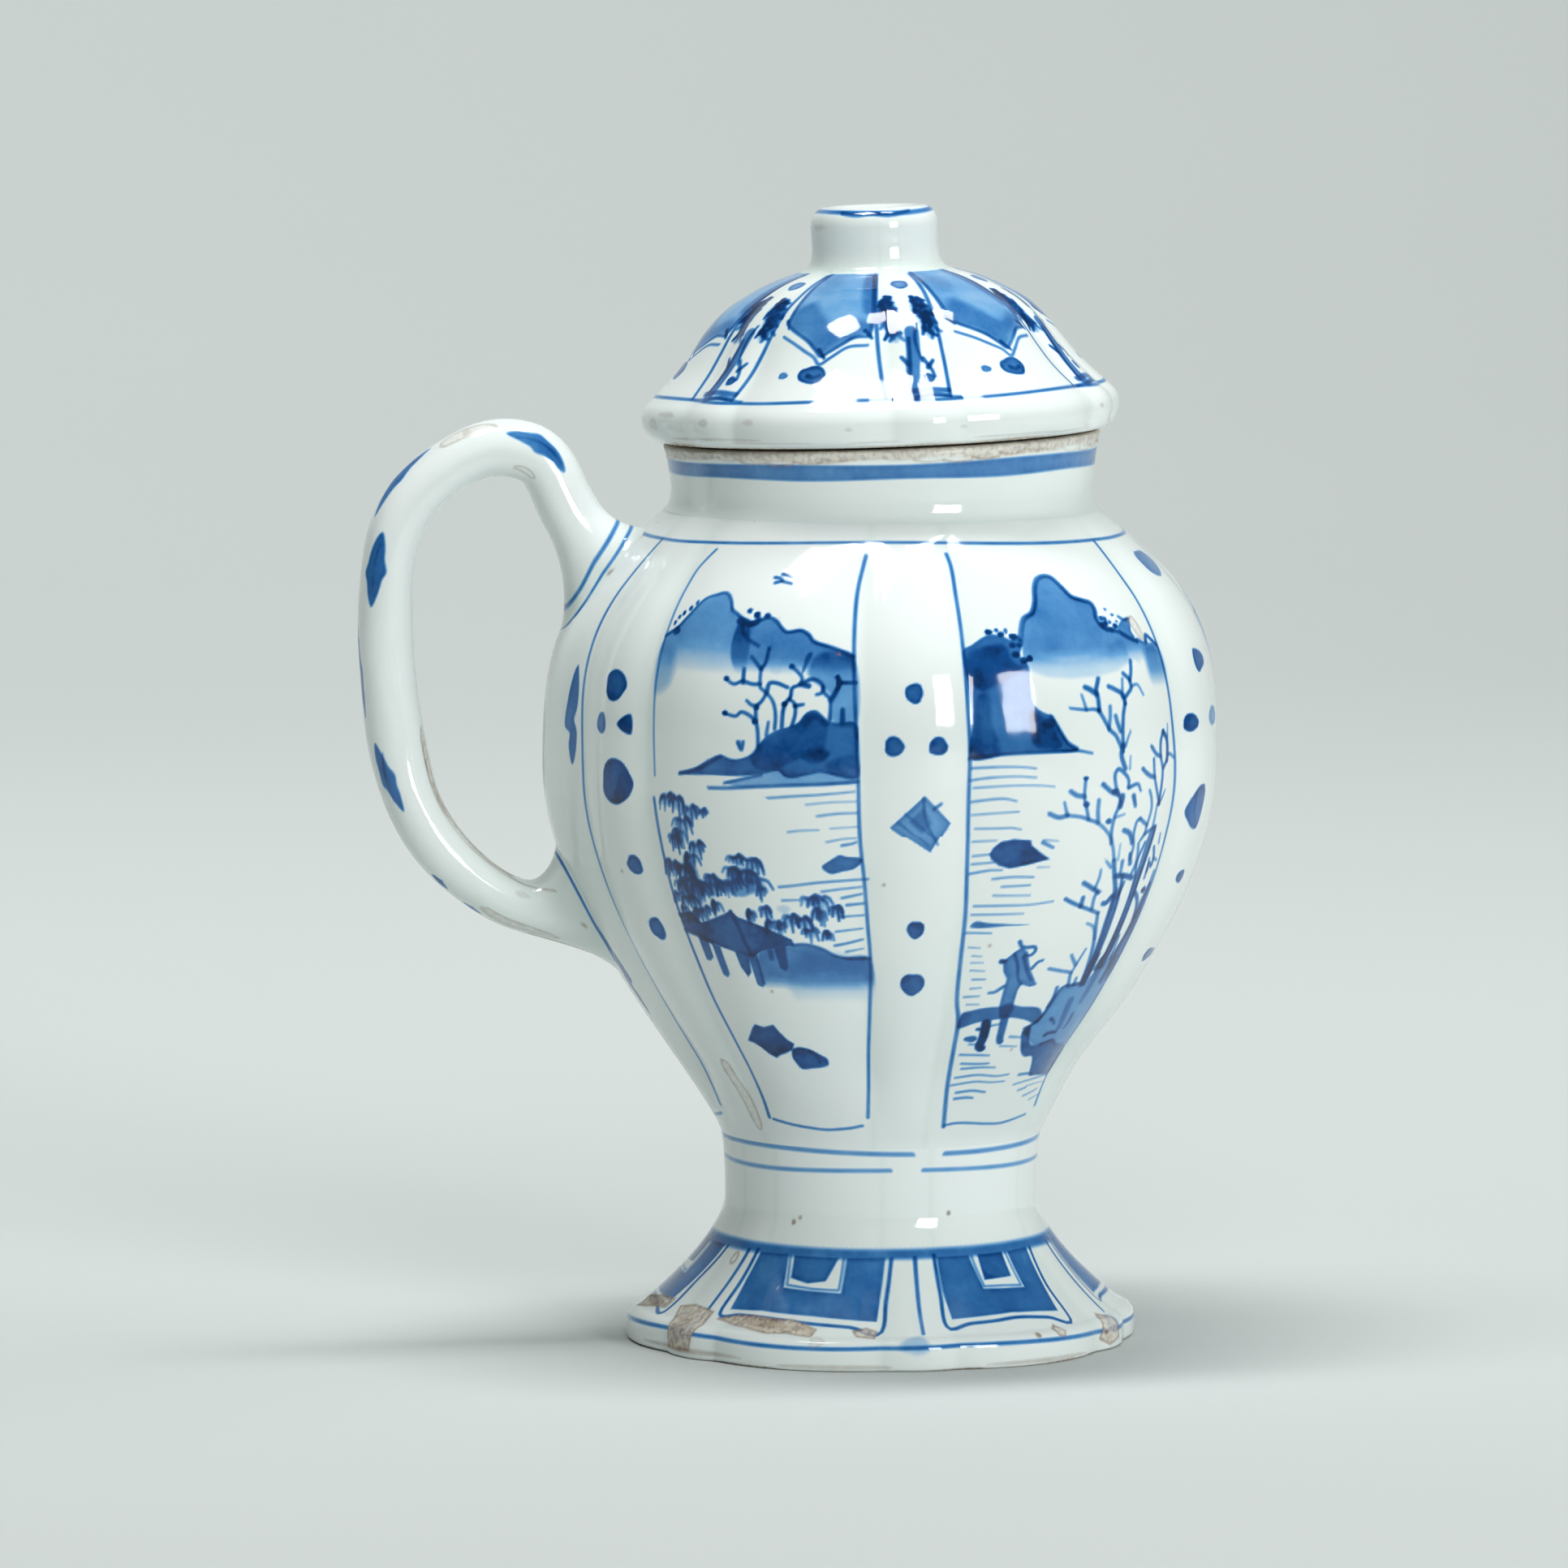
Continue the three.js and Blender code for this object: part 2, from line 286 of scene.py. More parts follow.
# %% [markdown]
# ## Glaze and cobalt
# The blue is painted on the raw clay and lies beneath the clear glaze, so paint changes only the colour
# and never the gloss. Each surface carries three attributes: how much cobalt a point has, how bare of
# glaze it is, and how stained. Cobalt runs from a watery wash to nearly black where it is thick.

# %% Porcelain finish
COBALT = [
    (0.0, colour(226, 233, 230)),
    (0.16, colour(172, 201, 220)),
    (0.36, colour(96, 154, 203)),
    (0.58, colour(48, 108, 168)),
    (0.78, colour(12, 68, 130)),
    (1.0, colour(5, 40, 82)),
]


def porcelain(name):
    shader = Shader(name)
    ink = shader.attribute("ink")
    bare = shader.attribute("bare")
    stain = shader.attribute("stain")
    pool = shader.attribute("pool")
    clouds = shader.noise(210.0, 3.0, 0.6)
    grains = shader.noise(1500.0, 2.0, 0.5)
    uneven = ink * (clouds * 0.55 + grains * 0.1 + 0.67)
    piled = (ink.between(0.6, 0.95) * clouds.between(0.5, 0.66)) * 0.22
    paint = shader.ramp((uneven + piled).limit(), COBALT)
    tint = shader.noise(26.0, 2.0).between(0.35, 0.7)
    glassy = shader.mix((tint * 0.25 + pool * 0.9).limit(), colour(226, 233, 231), colour(203, 219, 212))
    body = shader.mix(ink.between(0.0, 0.12), glassy, paint)
    clay = shader.mix(shader.noise(420.0, 3.0).between(0.3, 0.7), colour(214, 206, 192),
                      colour(190, 178, 158))
    brown = shader.mix(grains.between(0.3, 0.7), colour(150, 122, 96), colour(98, 76, 58))
    dirty = shader.mix(grains.between(0.42, 0.62) * 0.55, clay, brown)
    base = shader.mix(bare, body, dirty)
    base = shader.mix((stain * (clouds + 0.45)).limit(), base, brown)
    shader.feed(shader.surface.inputs["Base Color"], base)
    rough = (bare * 0.6 + 0.07 + stain * 0.3).limit()
    shader.feed(shader.surface.inputs["Roughness"], rough)
    shader.surface.inputs["IOR"].default_value = 1.52
    ripple = shader.noise(60.0, 1.0) * 1.0 + shader.noise(420.0, 1.0) * 0.1 + grains * bare * 0.2
    shader.bump(ripple, 0.00022)
    return shader.material


PORCELAIN = porcelain("painted_porcelain")

# %% [markdown]
# ## Brushwork
# A drawing is a list of marks on a flat sheet: degrees round the pot, and millimetres up its wall. A
# brush line has a width that may thin towards its end. A patch is a filled shape with a soft edge, and
# it may fade out between two heights, as a wash does. Marks laid over each other get darker.


# %% Brush and patch
def pairs(text):
    return np.array([[float(n) for n in item.split(",")] for item in text.split()])


def curve_through(points, closed=False, steps=5):
    """More points, on the smooth curve that runs through the given ones."""
    if len(points) < 3:
        return points
    if closed:
        around = np.vstack([points[-1], points, points[0], points[1]])
    else:
        around = np.vstack([2 * points[0] - points[1], points, 2 * points[-1] - points[-2]])
    gaps = np.maximum(np.linalg.norm(np.diff(around, axis=0), axis=1), 1e-6) ** 0.5
    t = (np.arange(steps) / steps)[:, None]
    result = []
    for i in range(1, len(around) - 2):
        a, b, c, d = around[i - 1:i + 3]
        before, here, after = gaps[i - 1:i + 2]
        leave = here * ((b - a) / before - (c - a) / (before + here) + (c - b) / here)
        arrive = here * ((c - b) / here - (d - b) / (here + after) + (d - c) / after)
        result.append(blend_curve(b, leave, c, arrive, t))
    if not closed:
        result.append(points[-1:])
    return np.vstack(result)


def blend_curve(start, leave, end, arrive, t):
    """A curve from start to end that leaves and arrives in the given directions."""
    turn = 3 * t ** 2 - 2 * t ** 3
    return start * (1 - turn) + end * turn + leave * (t ** 3 - 2 * t ** 2 + t) + arrive * (t ** 3 - t ** 2)


BRUSH_SPREAD = 1.4


def brush(text, width=0.3, tone=0.7, thin=0.25, soft=0.15, curve=True, layer="ink"):
    """A brush line. Paint spreads under the glaze, so the line is wider than the brush."""
    points = pairs(text)
    return {"points": curve_through(points) if curve else points, "width": BRUSH_SPREAD * width,
            "tone": tone, "thin": thin, "soft": soft, "closed": False, "fade": None, "layer": layer}


def strokes(text, width, tone, thin=0.25):
    """Brush lines of one width, tone and taper, with a slash between them."""
    return [brush(line, width, tone, thin) for line in text.split("/")]


def ring(height, swing=0.0, waves=1, start=0, places=range(0, 361, 10)):
    """A line that runs round and rises and falls by the swing, as text for a brush."""
    return " ".join(f"{x},{height + swing * math.sin(math.radians(waves * x + start)):.2f}" for x in places)


def patch(text, tone=0.6, soft=0.12, fade=None, rim=0.0, curve=True, layer="ink"):
    points = pairs(text)
    return {"points": curve_through(points, True) if curve else points, "tone": tone, "soft": soft,
            "closed": True, "fade": fade, "rim": rim, "layer": layer}


def spot(x, y, half_x, half_y, tone=0.66, rim=0.22, **kind):
    angles = np.linspace(0, 2 * math.pi, 13)[:-1] if half_x > 1 else np.linspace(0, 2 * math.pi, 9)[:-1]
    rough = 1 + 0.06 * np.sin(3 * angles + x) + 0.03 * np.sin(5 * angles + y)
    text = " ".join(f"{x + half_x * r * math.cos(a):.2f},{y + half_y * r * math.sin(a):.2f}"
                    for a, r in zip(angles, rough))
    return patch(text, tone, rim=rim, **kind)


def spots(text):
    """Spots, each given as across, up, half width, half height and tone."""
    return [spot(*values) for values in pairs(text)]


def drooping(x, y, reach, leaves=5, tone=0.64):
    """A tuft of drooping leaves from one point. Each stroke has its own angle, length and weight."""
    marks = [spot(x, y - 0.5 * reach, 0.9 * reach, 0.5 * reach, 0.3, 0, soft=0.4)]
    for i in range(leaves + 2):
        wild = math.sin(37 * x + 19 * y + 7 * i)
        angle = math.radians(-150 + 120 * i / (leaves + 1) + 22 * wild)
        long = reach * (1.05 + 0.3 * math.sin(11 * x + 23 * y + 5 * i))
        across, down = long * math.cos(angle) / 0.7, long * math.sin(angle)
        marks.append(brush(f"{x + 0.4 * across:.2f},{y + 0.2 * down + 0.2 * wild:.2f} "
                           f"{x + 0.75 * across:.2f},{y + 0.42 * down:.2f} "
                           f"{x + across:.2f},{y + down - 0.2 * long:.2f}", 0.34, tone + 0.16 * wild, 0.4))
    return marks


def smudge(x, y, long, high, tone, layer="stain"):
    """A worn place with an uneven outline, often browner at its edge."""
    turns = range(0, 360, 30)
    text = " ".join(
        f"{x + long * math.cos(math.radians(a)) * (1 + 0.3 * math.sin(2.3 * a + x)):.2f},"
        f"{y + high * math.sin(math.radians(a)) * (1 + 0.3 * math.sin(1.7 * a + y)):.2f}" for a in turns)
    return patch(text, tone, 0.2, rim=0.2, layer=layer, curve=False)


def worn(outline, tone, soft, edge_width, edge_tone, thin=0, curve=True):
    """A place that has lost its glaze, with a brown line round it."""
    around = outline + " " + outline.split()[0]
    return [patch(outline, tone, soft, layer="bare", curve=curve),
            brush(around, edge_width, edge_tone, thin, curve=curve, layer="stain")]


def moved(marks, centre, mirror=False, to_wall=None):
    """The marks in their place round the pot. to_wall turns a height into a length along the wall."""
    result = []
    for mark in marks:
        points = mark["points"].copy()
        points[:, 0] = centre + points[:, 0] * (-1 if mirror else 1)
        placed = dict(mark, points=points)
        if to_wall is not None:
            placed["points"] = np.column_stack([points[:, 0], to_wall(points[:, 1])])
            if mark["fade"]:
                placed["fade"] = tuple(to_wall(np.array(mark["fade"])))
        result.append(placed)
    return result


# %% [markdown]
# To know where paint lies, each mark measures how far a point is from its edge, in millimetres on the
# wall. The same measure tells the mesh where it has to be fine.


# %% Distance from a mark
def spread_out(values, middle, radius):
    """Degrees as millimetres from the mark's middle, at each height's own radius."""
    return np.column_stack([(values[:, 0] - middle) * radius(values[:, 1]) * math.pi / 180, values[:, 1]])


def mark_distance(mark, flat, radius):
    """Distance to the mark's line or outline, the share along it, and whether a point is inside."""
    middle = mark["points"][:, 0].mean()
    line = spread_out(mark["points"], middle, radius)
    spots = spread_out(flat, middle, radius)
    ends = np.roll(line, -1, axis=0) if mark["closed"] else line[1:]
    starts = line if mark["closed"] else line[:-1]
    best = np.full(len(spots), 1e9)
    share = np.zeros(len(spots))
    inside = np.zeros(len(spots), bool)
    for i, (a, b) in enumerate(zip(starts, ends)):
        step = b - a
        length = max(float(step @ step), 1e-12)
        t = np.clip(((spots - a) @ step) / length, 0, 1)
        gap = np.hypot(*(spots - a - t[:, None] * step).T)
        nearer = gap < best
        best = np.where(nearer, gap, best)
        share = np.where(nearer, (i + t) / len(starts), share)
        if mark["closed"]:
            crosses = (a[1] > spots[:, 1]) != (b[1] > spots[:, 1])
            rise = step[1] if abs(step[1]) > 1e-12 else 1e-12
            inside ^= crosses & (spots[:, 0] < a[0] + (spots[:, 1] - a[1]) * step[0] / rise)
    return best, share, inside


def near_box(mark, flat, margin, radius):
    """Which points lie in the mark's box, widened by a margin in millimetres."""
    wide = margin / (radius(mark["points"][:, 1]).min() * math.pi / 180)
    low = mark["points"].min(axis=0) - (wide, margin)
    high = mark["points"].max(axis=0) + (wide, margin)
    return np.flatnonzero(np.all((flat >= low) & (flat <= high), axis=1))


def edge_gap(mark, flat, radius):
    gap = mark_distance(mark, flat, radius)[0]
    if mark["closed"]:
        return np.maximum(gap - mark["soft"], 0)
    return np.maximum(gap - mark["width"] / 2 - 0.05, 0)


SOFTER = 0.04
RIM_WIDTH = 0.35


def cover_of(mark, flat, radius):
    gap, share, inside = mark_distance(mark, flat, radius)
    soft = mark["soft"] + SOFTER
    if mark["closed"]:
        signed = np.where(inside, gap, -gap)
        cover = np.clip(0.5 + signed / (2 * soft), 0, 1)
        strength = mark["tone"] + mark["rim"] * np.exp(-np.maximum(signed, 0) / RIM_WIDTH)
    else:
        half = mark["width"] / 2 * (1 - mark["thin"] * share)
        cover = np.clip((half + soft - gap) / (2 * soft), 0, 1)
        strength = mark["tone"]
    cover = cover * cover * (3 - 2 * cover)
    if mark["fade"]:
        full, none = mark["fade"]
        t = np.clip((flat[:, 1] - none) / (full - none), 0, 1)
        cover = cover * t * t * (3 - 2 * t)
    return cover * strength


def painted(marks, flat, radius, layer):
    """The amount of one layer at each point of the sheet."""
    amount = np.zeros(len(flat))
    for mark in marks:
        if mark["layer"] != layer:
            continue
        chosen = near_box(mark, flat, 1.5, radius)
        if len(chosen):
            added = cover_of(mark, flat[chosen], radius)
            amount[chosen] = 1 - (1 - amount[chosen]) * (1 - np.clip(added, 0, 1))
    return amount


# %% [markdown]
# ## Forms as sheets
# A turned wall is easiest to work on flat. Its outline is cut into sections at its sharp corners. A
# sheet is a flat grid, as wide as one turn and as long as the outline. It is made finer along the brush
# marks, painted, then rolled into the round form, and its edges are joined.


# %% Sections of an outline
class Form:
    """A surface over a flat sheet. place(x, v, section) gives its points, radius(v) its mean radius."""

    def __init__(self, spans, cells, face, place, radius, lying=False):
        self.edges = np.concatenate([[0], np.cumsum(spans)])
        self.cells = cells
        self.face = face
        self.place = place
        self.radius = radius
        self.lying = lying

    def section_at(self, v):
        return np.clip(np.searchsorted(self.edges, v, side="right") - 1, 0, len(self.cells) - 1)

    def rows(self):
        rows = []
        for start, end, cell in zip(self.edges, self.edges[1:], self.cells):
            count = max(1, round((end - start) / cell))
            rows.extend(start + (end - start) * np.arange(count) / count)
        return np.array(rows + [self.edges[-1]])

    def picture_share(self, v):
        """The share of the picture's height at v: the painted face has most of it."""
        start, end = self.edges[self.face:self.face + 2]
        hidden = start + self.edges[-1] - end
        first = 0.15 * start / max(hidden, 1e-6)
        return np.interp(v, [0, start, end, self.edges[-1]], [0, first, first + 0.85, 1])


def turned(sections, cells, face, place):
    """A form from outlines of radius, height and lobe depth, turned round the axis."""
    outlines = []
    start = 0.0
    for section in sections:
        points = np.array(section, float)
        length = np.concatenate([[0], np.cumsum(np.hypot(*np.diff(points[:, :2], axis=0).T))])
        outlines.append((start + length, points))
        start += length[-1]

    def on_outline(x, v, section):
        at = np.zeros((len(v), 3))
        for i, (length, points) in enumerate(outlines):
            chosen = section == i
            for k in range(3):
                at[chosen, k] = np.interp(v[chosen], length, points[:, k])
        return place(x, *at.T)

    lengths = np.concatenate([length + i * 1e-9 for i, (length, points) in enumerate(outlines)])
    radii = np.concatenate([points[:, 0] for length, points in outlines])
    spans = [length[-1] - length[0] for length, points in outlines]
    form = Form(spans, cells, face, on_outline, lambda v: np.maximum(np.interp(v, lengths, radii), 3))
    form.face_outline = outlines[face]
    return form


# %% Flat sheets, finer along the marks
FINE = 0.23


def match_seam(middle, wanted):
    """Where an edge at one end of the sheet is cut, its partner at the other end is cut too."""
    pairs_at = {}
    for i in np.flatnonzero((middle[:, 0] < 1e-4) | (middle[:, 0] > 360 - 1e-4)):
        pairs_at.setdefault(round(float(middle[i, 1]), 3), []).append(i)
    for pair in pairs_at.values():
        wanted[pair] = wanted[pair].any()


def flat_sheet(form, marks, columns, levels, fine):
    sheet = bmesh.new()
    rows = form.rows()
    bmesh.ops.create_grid(sheet, x_segments=columns, y_segments=len(rows) - 1, size=1)
    for vert in sheet.verts:
        vert.co.x = (vert.co.x + 1) * 180
        vert.co.y = rows[round((vert.co.y + 1) / 2 * (len(rows) - 1))]
    first, last = form.edges[form.face] - 1.5, form.edges[form.face + 1] + 1.5
    for level in range(levels):
        sheet.verts.ensure_lookup_table()
        sheet.edges.ensure_lookup_table()
        co = np.array([vert.co[:2] for vert in sheet.verts])
        ends = np.array([(edge.verts[0].index, edge.verts[1].index) for edge in sheet.edges])
        middle = (co[ends[:, 0]] + co[ends[:, 1]]) / 2
        span = np.abs(co[ends[:, 0]] - co[ends[:, 1]])
        length = np.hypot(span[:, 0] * form.radius(middle[:, 1]) * math.pi / 180, span[:, 1])
        off_face = (middle[:, 1] < first) | (middle[:, 1] > last)
        wanted = off_face.copy()
        for mark in marks:
            chosen = near_box(mark, middle, 1.2, form.radius)
            chosen = chosen[(length[chosen] > fine) & ~wanted[chosen]]
            if len(chosen):
                close = edge_gap(mark, middle[chosen], form.radius) < 0.6 * length[chosen] + 0.04
                wanted[chosen[close]] = True
        wanted &= ~off_face
        match_seam(middle, wanted)
        picked = [sheet.edges[i] for i in np.flatnonzero(wanted)]
        if picked:
            bmesh.ops.subdivide_edges(sheet, edges=picked, cuts=1, use_grid_fill=True)
    return sheet


# %% [markdown]
# Rolling the sheet sets every corner's normal from the true shape, so that small and large cells
# reflect alike. The flat place stays as the UV map, in three strips so that the drawing is large in it.


# %% Roll a sheet into its form
def corner_normals(form, x, v, section, middle):
    """Normals from the form itself, taken a little inside each face's own section."""
    start, end = form.edges[section], form.edges[section + 1]
    across = form.place(x + 0.2, v, section) - form.place(x - 0.2, v, section)
    above = form.place(x, np.minimum(v + 0.12, end), section)
    along = above - form.place(x, np.maximum(v - 0.12, start), section)
    normal = np.cross(across, along)
    at_pole = np.linalg.norm(across, axis=1) < 1e-6
    inner = v + np.sign(middle - v) * 0.3
    beside = form.place(x + 0.2, inner, section) - form.place(x - 0.2, inner, section)
    normal = np.where(at_pole[:, None], np.cross(beside, along), normal)
    return normal / np.maximum(np.linalg.norm(normal, axis=1), 1e-12)[:, None]


def read(data, key, count, kind=float):
    values = np.empty(count, kind)
    data.foreach_get(key, values)
    return values


def rolled(name, form, marks, body, nodes, columns=180, levels=3, fine=FINE, layers=None):
    sheet = flat_sheet(form, marks, columns, levels, fine)
    mesh = bpy.data.meshes.new(name)
    sheet.to_mesh(mesh)
    sheet.free()
    count = len(mesh.vertices)
    flat = read(mesh.vertices, "co", count * 3).reshape(-1, 3)[:, :2]
    owner = read(mesh.loops, "vertex_index", len(mesh.loops), int)
    sides = read(mesh.polygons, "loop_total", len(mesh.polygons), int)
    centre = read(mesh.polygons, "center", len(sides) * 3).reshape(-1, 3)[:, :2].repeat(sides, axis=0)
    x, v = flat[owner].T

    uv = mesh.uv_layers.new(name="OFBake")
    if form.lying:
        place = np.column_stack([form.picture_share(v), x / 360])
    else:
        strip = np.minimum((centre[:, 0] / 120).astype(int), 2)
        place = np.column_stack([x / 120 - strip, (strip + 0.01 + 0.98 * form.picture_share(v)) / 3])
    uv.data.foreach_set("uv", (0.005 + 0.99 * place).ravel())

    for layer in ("ink", "bare", "stain", "pool"):
        amount = painted(marks, flat, form.radius, layer)
        if layers and layer in layers:
            amount = np.maximum(amount, layers[layer](*flat.T))
        mesh.attributes.new(layer, "FLOAT", "POINT").data.foreach_set("value", amount)
    normals = corner_normals(form, x, v, form.section_at(centre[:, 1]), centre[:, 1])
    mesh.attributes.new("true_normal", "FLOAT_VECTOR", "CORNER").data.foreach_set("vector", normals.ravel())
    points = form.place(*flat.T, form.section_at(flat[:, 1]))
    mesh.vertices.foreach_set("co", (points * MM).ravel())

    closed = bmesh.new()
    closed.from_mesh(mesh)
    rim = [vert for vert in closed.verts if vert.is_boundary]
    bmesh.ops.remove_doubles(closed, verts=rim, dist=1e-7)
    bmesh.ops.dissolve_degenerate(closed, edges=closed.edges, dist=1e-8)
    open_edges = sum(edge.is_boundary for edge in closed.edges)
    for face in closed.faces:
        face.smooth = True
    closed.to_mesh(mesh)
    closed.free()
    stored = read(mesh.attributes["true_normal"].data, "vector", len(mesh.loops) * 3)
    mesh.normals_split_custom_set(stored.reshape(-1, 3).tolist())
    mesh.attributes.remove(mesh.attributes["true_normal"])
    mesh.materials.append(PORCELAIN)
    piece = bpy.data.objects.new(name, mesh)
    bpy.context.collection.objects.link(piece)
    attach(piece, body)
    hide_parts(*nodes)
    triangles = sum(len(polygon.vertices) - 2 for polygon in mesh.polygons)
    print(f"{name}: {triangles} triangles, {open_edges} open edges")
    return piece


# %% [markdown]
# ## The lobed form
# The belly was pressed in a mould with six wide lobes and a narrow rib between each two. Both swell
# outwards, and they meet in a crease that the glaze has softened. The clay moved a little as it dried,
# so the wall also wanders by a tenth of a millimetre. At the right, where the photograph shows a wider
# rib, it stands out by nearly a millimetre more.

# %% Lobes
LOBE_DEPTH = 1.5
RIB_DEPTH = 0.95
WIDE_HALF = 21.0
RIB_HALF = 9.0
CREASE_SOFTNESS = 0.3
SWELL = 0.9
SWELL_AT = 346
RIB_SHIFT = 2.8
RIB_STRETCH = 13


def crease_drop(degrees):
    """The drop below the crest of a wide lobe, for lobes one deep. Glaze fills the crease a little."""
    off = np.abs((degrees + 30) % 60 - 30)
    wide = (off / WIDE_HALF) ** 2
    rib = 1 - RIB_DEPTH / LOBE_DEPTH * (1 - ((30 - off) / RIB_HALF) ** 2)
    lower = np.minimum(wide, rib)
    gap = np.abs(wide - rib)
    return lower - 0.4 * CREASE_SOFTNESS * np.exp(-gap / CREASE_SOFTNESS)


def wander(degrees, height):
    """How far the wall stands out of true. The swell at the right is the largest part of it."""
    angle = np.radians(degrees)
    swell = SWELL * smooth_step(height, 34, 44) * (1 - smooth_step(height, 94, 103))
    swell = swell * np.maximum(np.cos(np.radians(degrees - SWELL_AT)), 0) ** 4
    return (swell + 0.10 * np.sin(3 * angle + 0.07 * height + 1) + 0.07 * np.sin(5 * angle - 0.11 * height)
            + 0.035 * np.sin(9 * angle + 0.23 * height + 2))


def settled(degrees):
    """The rib at the right is wider than the others, and the panel beyond it narrower."""
    around = (degrees - 180) % 360 + 180
    moved_on = RIB_SHIFT * smooth_step(around, 296, 325) + RIB_STRETCH * smooth_step(around, 331, 339)
    return degrees + moved_on * (1 - smooth_step(around, 352, 440))


def on_pot(turn, settle=lambda degrees: degrees):
    def place(x, radius, height, lobes):
        calm = np.clip(height / 4, 0, 1)
        full = radius - crease_drop(x - turn) * lobes + wander(x, height) * calm * (lobes > 0.02)
        angle = np.radians(settle(x))
        return np.column_stack([AXIS_X + full * np.cos(angle), full * np.sin(angle), height])
    return place


def smooth_step(value, low, high):
    t = np.clip((value - low) / (high - low), 0, 1)
    return t * t * (3 - 2 * t)


def lower_radius(z):
    rise = (z - STEM_TOP) / (BELLY_HEIGHT - STEM_TOP)
    base = STEM_RADIUS + STEM_FLARE
    return base + (BELLY_RADIUS - base) * np.sin(math.pi / 2 * np.clip(rise, 0, 1)) ** 1.15


def upper_radius(z):
    rise = np.clip((z - BELLY_HEIGHT) / (SHOULDER_TOP - BELLY_HEIGHT), 0, 1)
    return NECK_RADIUS + (BELLY_RADIUS - NECK_RADIUS) * np.cos(math.pi / 2 * rise ** 1.65)


def body_radius(z):
    z = np.asarray(z, float)
    return np.where(z < BELLY_HEIGHT, lower_radius(z), upper_radius(z))


def body_lobes(z):
    return LOBE_DEPTH * smooth_step(z, STEM_TOP, STEM_TOP + 11) * smooth_step(SHOULDER_TOP - z, 0, 9)
